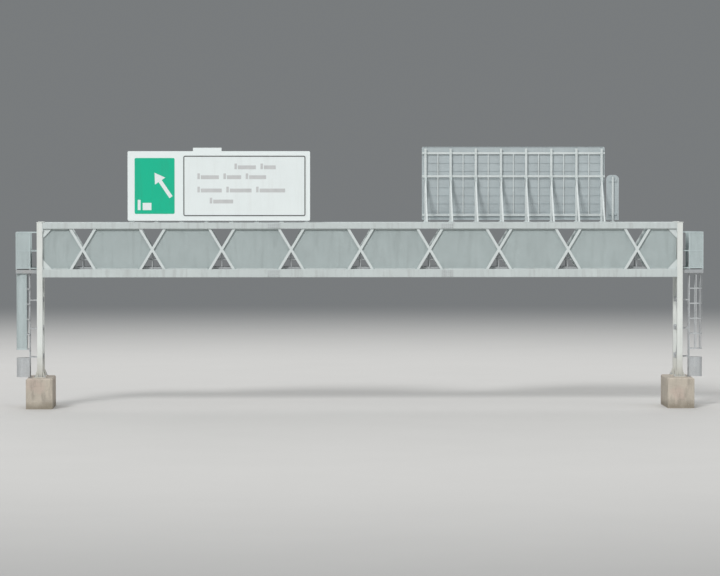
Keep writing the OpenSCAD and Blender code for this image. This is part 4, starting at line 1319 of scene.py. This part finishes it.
class GANTRY_OT_legends(bpy.types.Operator):
    """Lays a plain border, an arrow and rows of blank words on the sign faces"""
    bl_idname = "gantry.legends"
    bl_label = "Sign legends"

    inset: length("Border inset", "Panel's edge to its border", 0.06)
    corner: length("Border corner", "Radius of a border's outer corner", 0.10)
    arrow: length("Arrow", "Length of the arrow", 1.55)
    shaft_w: length("Arrow shaft", "Width of the arrow's shaft", 0.20)
    head_w: length("Arrow head", "Width of the arrow's head", 0.66)

    def execute(self, context):
        for end, face in ENDS:
            low, high = self.panel(end + "_green_panel", face)
            blocks = [(0.16, 0.20, 0.15, 0.54), (0.42, 0.20, 0.46, 0.38)]
            light = [self.arrow_shape(low, high), *self.bars(blocks, low)]
            low, high = self.panel(end + "_white_panel", face)
            for pieces, name, look in (
                    (light, "light", "white_sheeting"),
                    ([self.ring(low, high)], "dark", "dark_legend"),
                    (self.bars(self.rows(high.z - low.z), low), "pale", "pale_legend")):
                whole = joined(pieces, end + "_" + name + "_legend")
                whole.data.transform(self.onto(end, face))
                finished(whole, "white_sheeting", look)
        return {"FINISHED"}

    def panel(self, node, face):
        """Corners of a panel as a reader of the sign sees it, from the left."""
        low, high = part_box(node)
        left, right = sorted((-face * low.x, -face * high.x))
        return Vector((left, 0, low.z)), Vector((right, 0, high.z))

    def onto(self, end, face):
        """Carries what is drawn in the plane Y = 0 onto a sign's panels."""
        low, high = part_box(end + "_white_panel")
        if face < 0:
            return at(0, low.y, 0)
        return at(0, high.y, 0, spin=math.pi)

    def film(self, piece):
        """Thickens a flat shape towards the reader."""
        return modified(piece, "SOLIDIFY", thickness=sizes().film, offset=1.0)

    def sheet(self, low, high):
        """A flat upright rectangle that faces the reader."""
        size = (high.x - low.x, high.z - low.z, 1.0)
        return primitive(bpy.ops.mesh.primitive_plane_add, size, size=1.0,
                         location=(low + high) / 2, rotation=(math.pi / 2, 0, 0))

    def ring(self, low, high):
        """A border with round corners just inside a panel's edge."""
        step = Vector((self.inset, 0, self.inset))
        piece = self.sheet(low + step, high - step)
        with editing(piece):
            bpy.ops.mesh.bevel(offset=self.corner, segments=6, affect="VERTICES")
            bpy.ops.mesh.select_all(action="SELECT")
            bpy.ops.mesh.inset(thickness=sizes().border)
            bpy.ops.mesh.delete(type="FACE")
        return self.film(piece)

    def bars(self, spots, low):
        """Blank bars, each from its left end, foot, width and height off a panel's corner."""
        made = []
        for x, z, wide, tall in spots:
            foot = low + Vector((x, 0, z))
            made.append(self.film(self.sheet(foot, foot + Vector((wide, 0, tall)))))
        return made

    def rows(self, tall):
        """Four rows of blank words: a tall bar and then a long low one."""
        rows = ((0.62, 2.75, (0.95, 0.62)), (1.14, 0.80, (0.95, 0.75, 0.90)),
                (1.84, 0.80, (1.10, 1.15, 1.35)), (2.42, 1.45, (1.05,)))
        cap_w, cap_h, low_h, gap, space = 0.13, 0.30, 0.20, 0.05, 0.24
        spots = []
        for drop, x, words in rows:
            foot = tall - drop - cap_h / 2
            for word in words:
                spots += [(x, foot, cap_w, cap_h), (x + cap_w + gap, foot, word, low_h)]
                x += cap_w + gap + word + space
        return spots

    def arrow_shape(self, low, high):
        """An arrow that points up and to the left, on the right half of the green panel."""
        foot, tip = -self.arrow / 2, self.arrow / 2
        shaft_share, from_right, above_middle, lean = 0.66, 0.62, 0.05, -34
        neck = foot + shaft_share * self.arrow
        shaft, head = (self.sheet(Vector((-wide / 2, 0, a)), Vector((wide / 2, 0, b)))
                       for wide, a, b in ((self.shaft_w, foot, neck), (self.head_w, neck, tip)))
        with editing(head, edges=lambda a, b: min(a.z, b.z) > neck + NEAR):
            bpy.ops.mesh.merge(type="CENTER")
        whole = joined([self.film(shaft), self.film(head)], "arrow")
        spot = (high.x - from_right, 0, (low.z + high.z) / 2 + above_middle)
        turn = Matrix.Rotation(math.radians(lean), 4, "Y")
        whole.data.transform(Matrix.Translation(spot) @ turn)
        return whole


class GANTRY_PT_panel(bpy.types.Panel):
    """Lists the gantry's parts, sizes and colours"""
    bl_label = "Overhead sign gantry"
    bl_idname = "GANTRY_PT_panel"
    bl_space_type = "VIEW_3D"
    bl_region_type = "UI"
    bl_category = "Gantry"

    def draw(self, context):
        for operator in OPERATORS:
            self.layout.operator(operator.bl_idname)
        for key, _ in SETTINGS:
            group, box = getattr(context.scene, key), self.layout.box()
            for name in group.bl_rna.properties.keys():
                if name not in ("rna_type", "name"):
                    box.prop(group, name)


OPERATORS = (
    GANTRY_OT_stage,
    GANTRY_OT_finishes,
    GANTRY_OT_plinths,
    GANTRY_OT_anchors,
    GANTRY_OT_boom_bolts,
    GANTRY_OT_gratings,
    GANTRY_OT_infill_trims,
    GANTRY_OT_joint_plates,
    GANTRY_OT_rail_fittings,
    GANTRY_OT_ladder_fittings,
    GANTRY_OT_sign_fixings,
    GANTRY_OT_legends,
)
SETTINGS = (
    ("gantry_colours", GantryColours),
    ("gantry_sizes", GantrySizes),
    ("gantry_studio", GantryStudio),
)


def register():
    for key, group in SETTINGS:
        bpy.utils.register_class(group)
        setattr(bpy.types.Scene, key, bpy.props.PointerProperty(type=group))
    for kind in (*OPERATORS, GANTRY_PT_panel):
        bpy.utils.register_class(kind)


def unregister():
    for kind in reversed((*OPERATORS, GANTRY_PT_panel)):
        bpy.utils.unregister_class(kind)
    for key, group in reversed(SETTINGS):
        delattr(bpy.types.Scene, key)
        bpy.utils.unregister_class(group)


def main():
    """Makes the stage, the finishes and every fitting."""
    register()
    for operator in OPERATORS:
        group, name = operator.bl_idname.split(".")
        getattr(getattr(bpy.ops, group), name)()
    deselect()


if __name__ == "__main__":
    main()
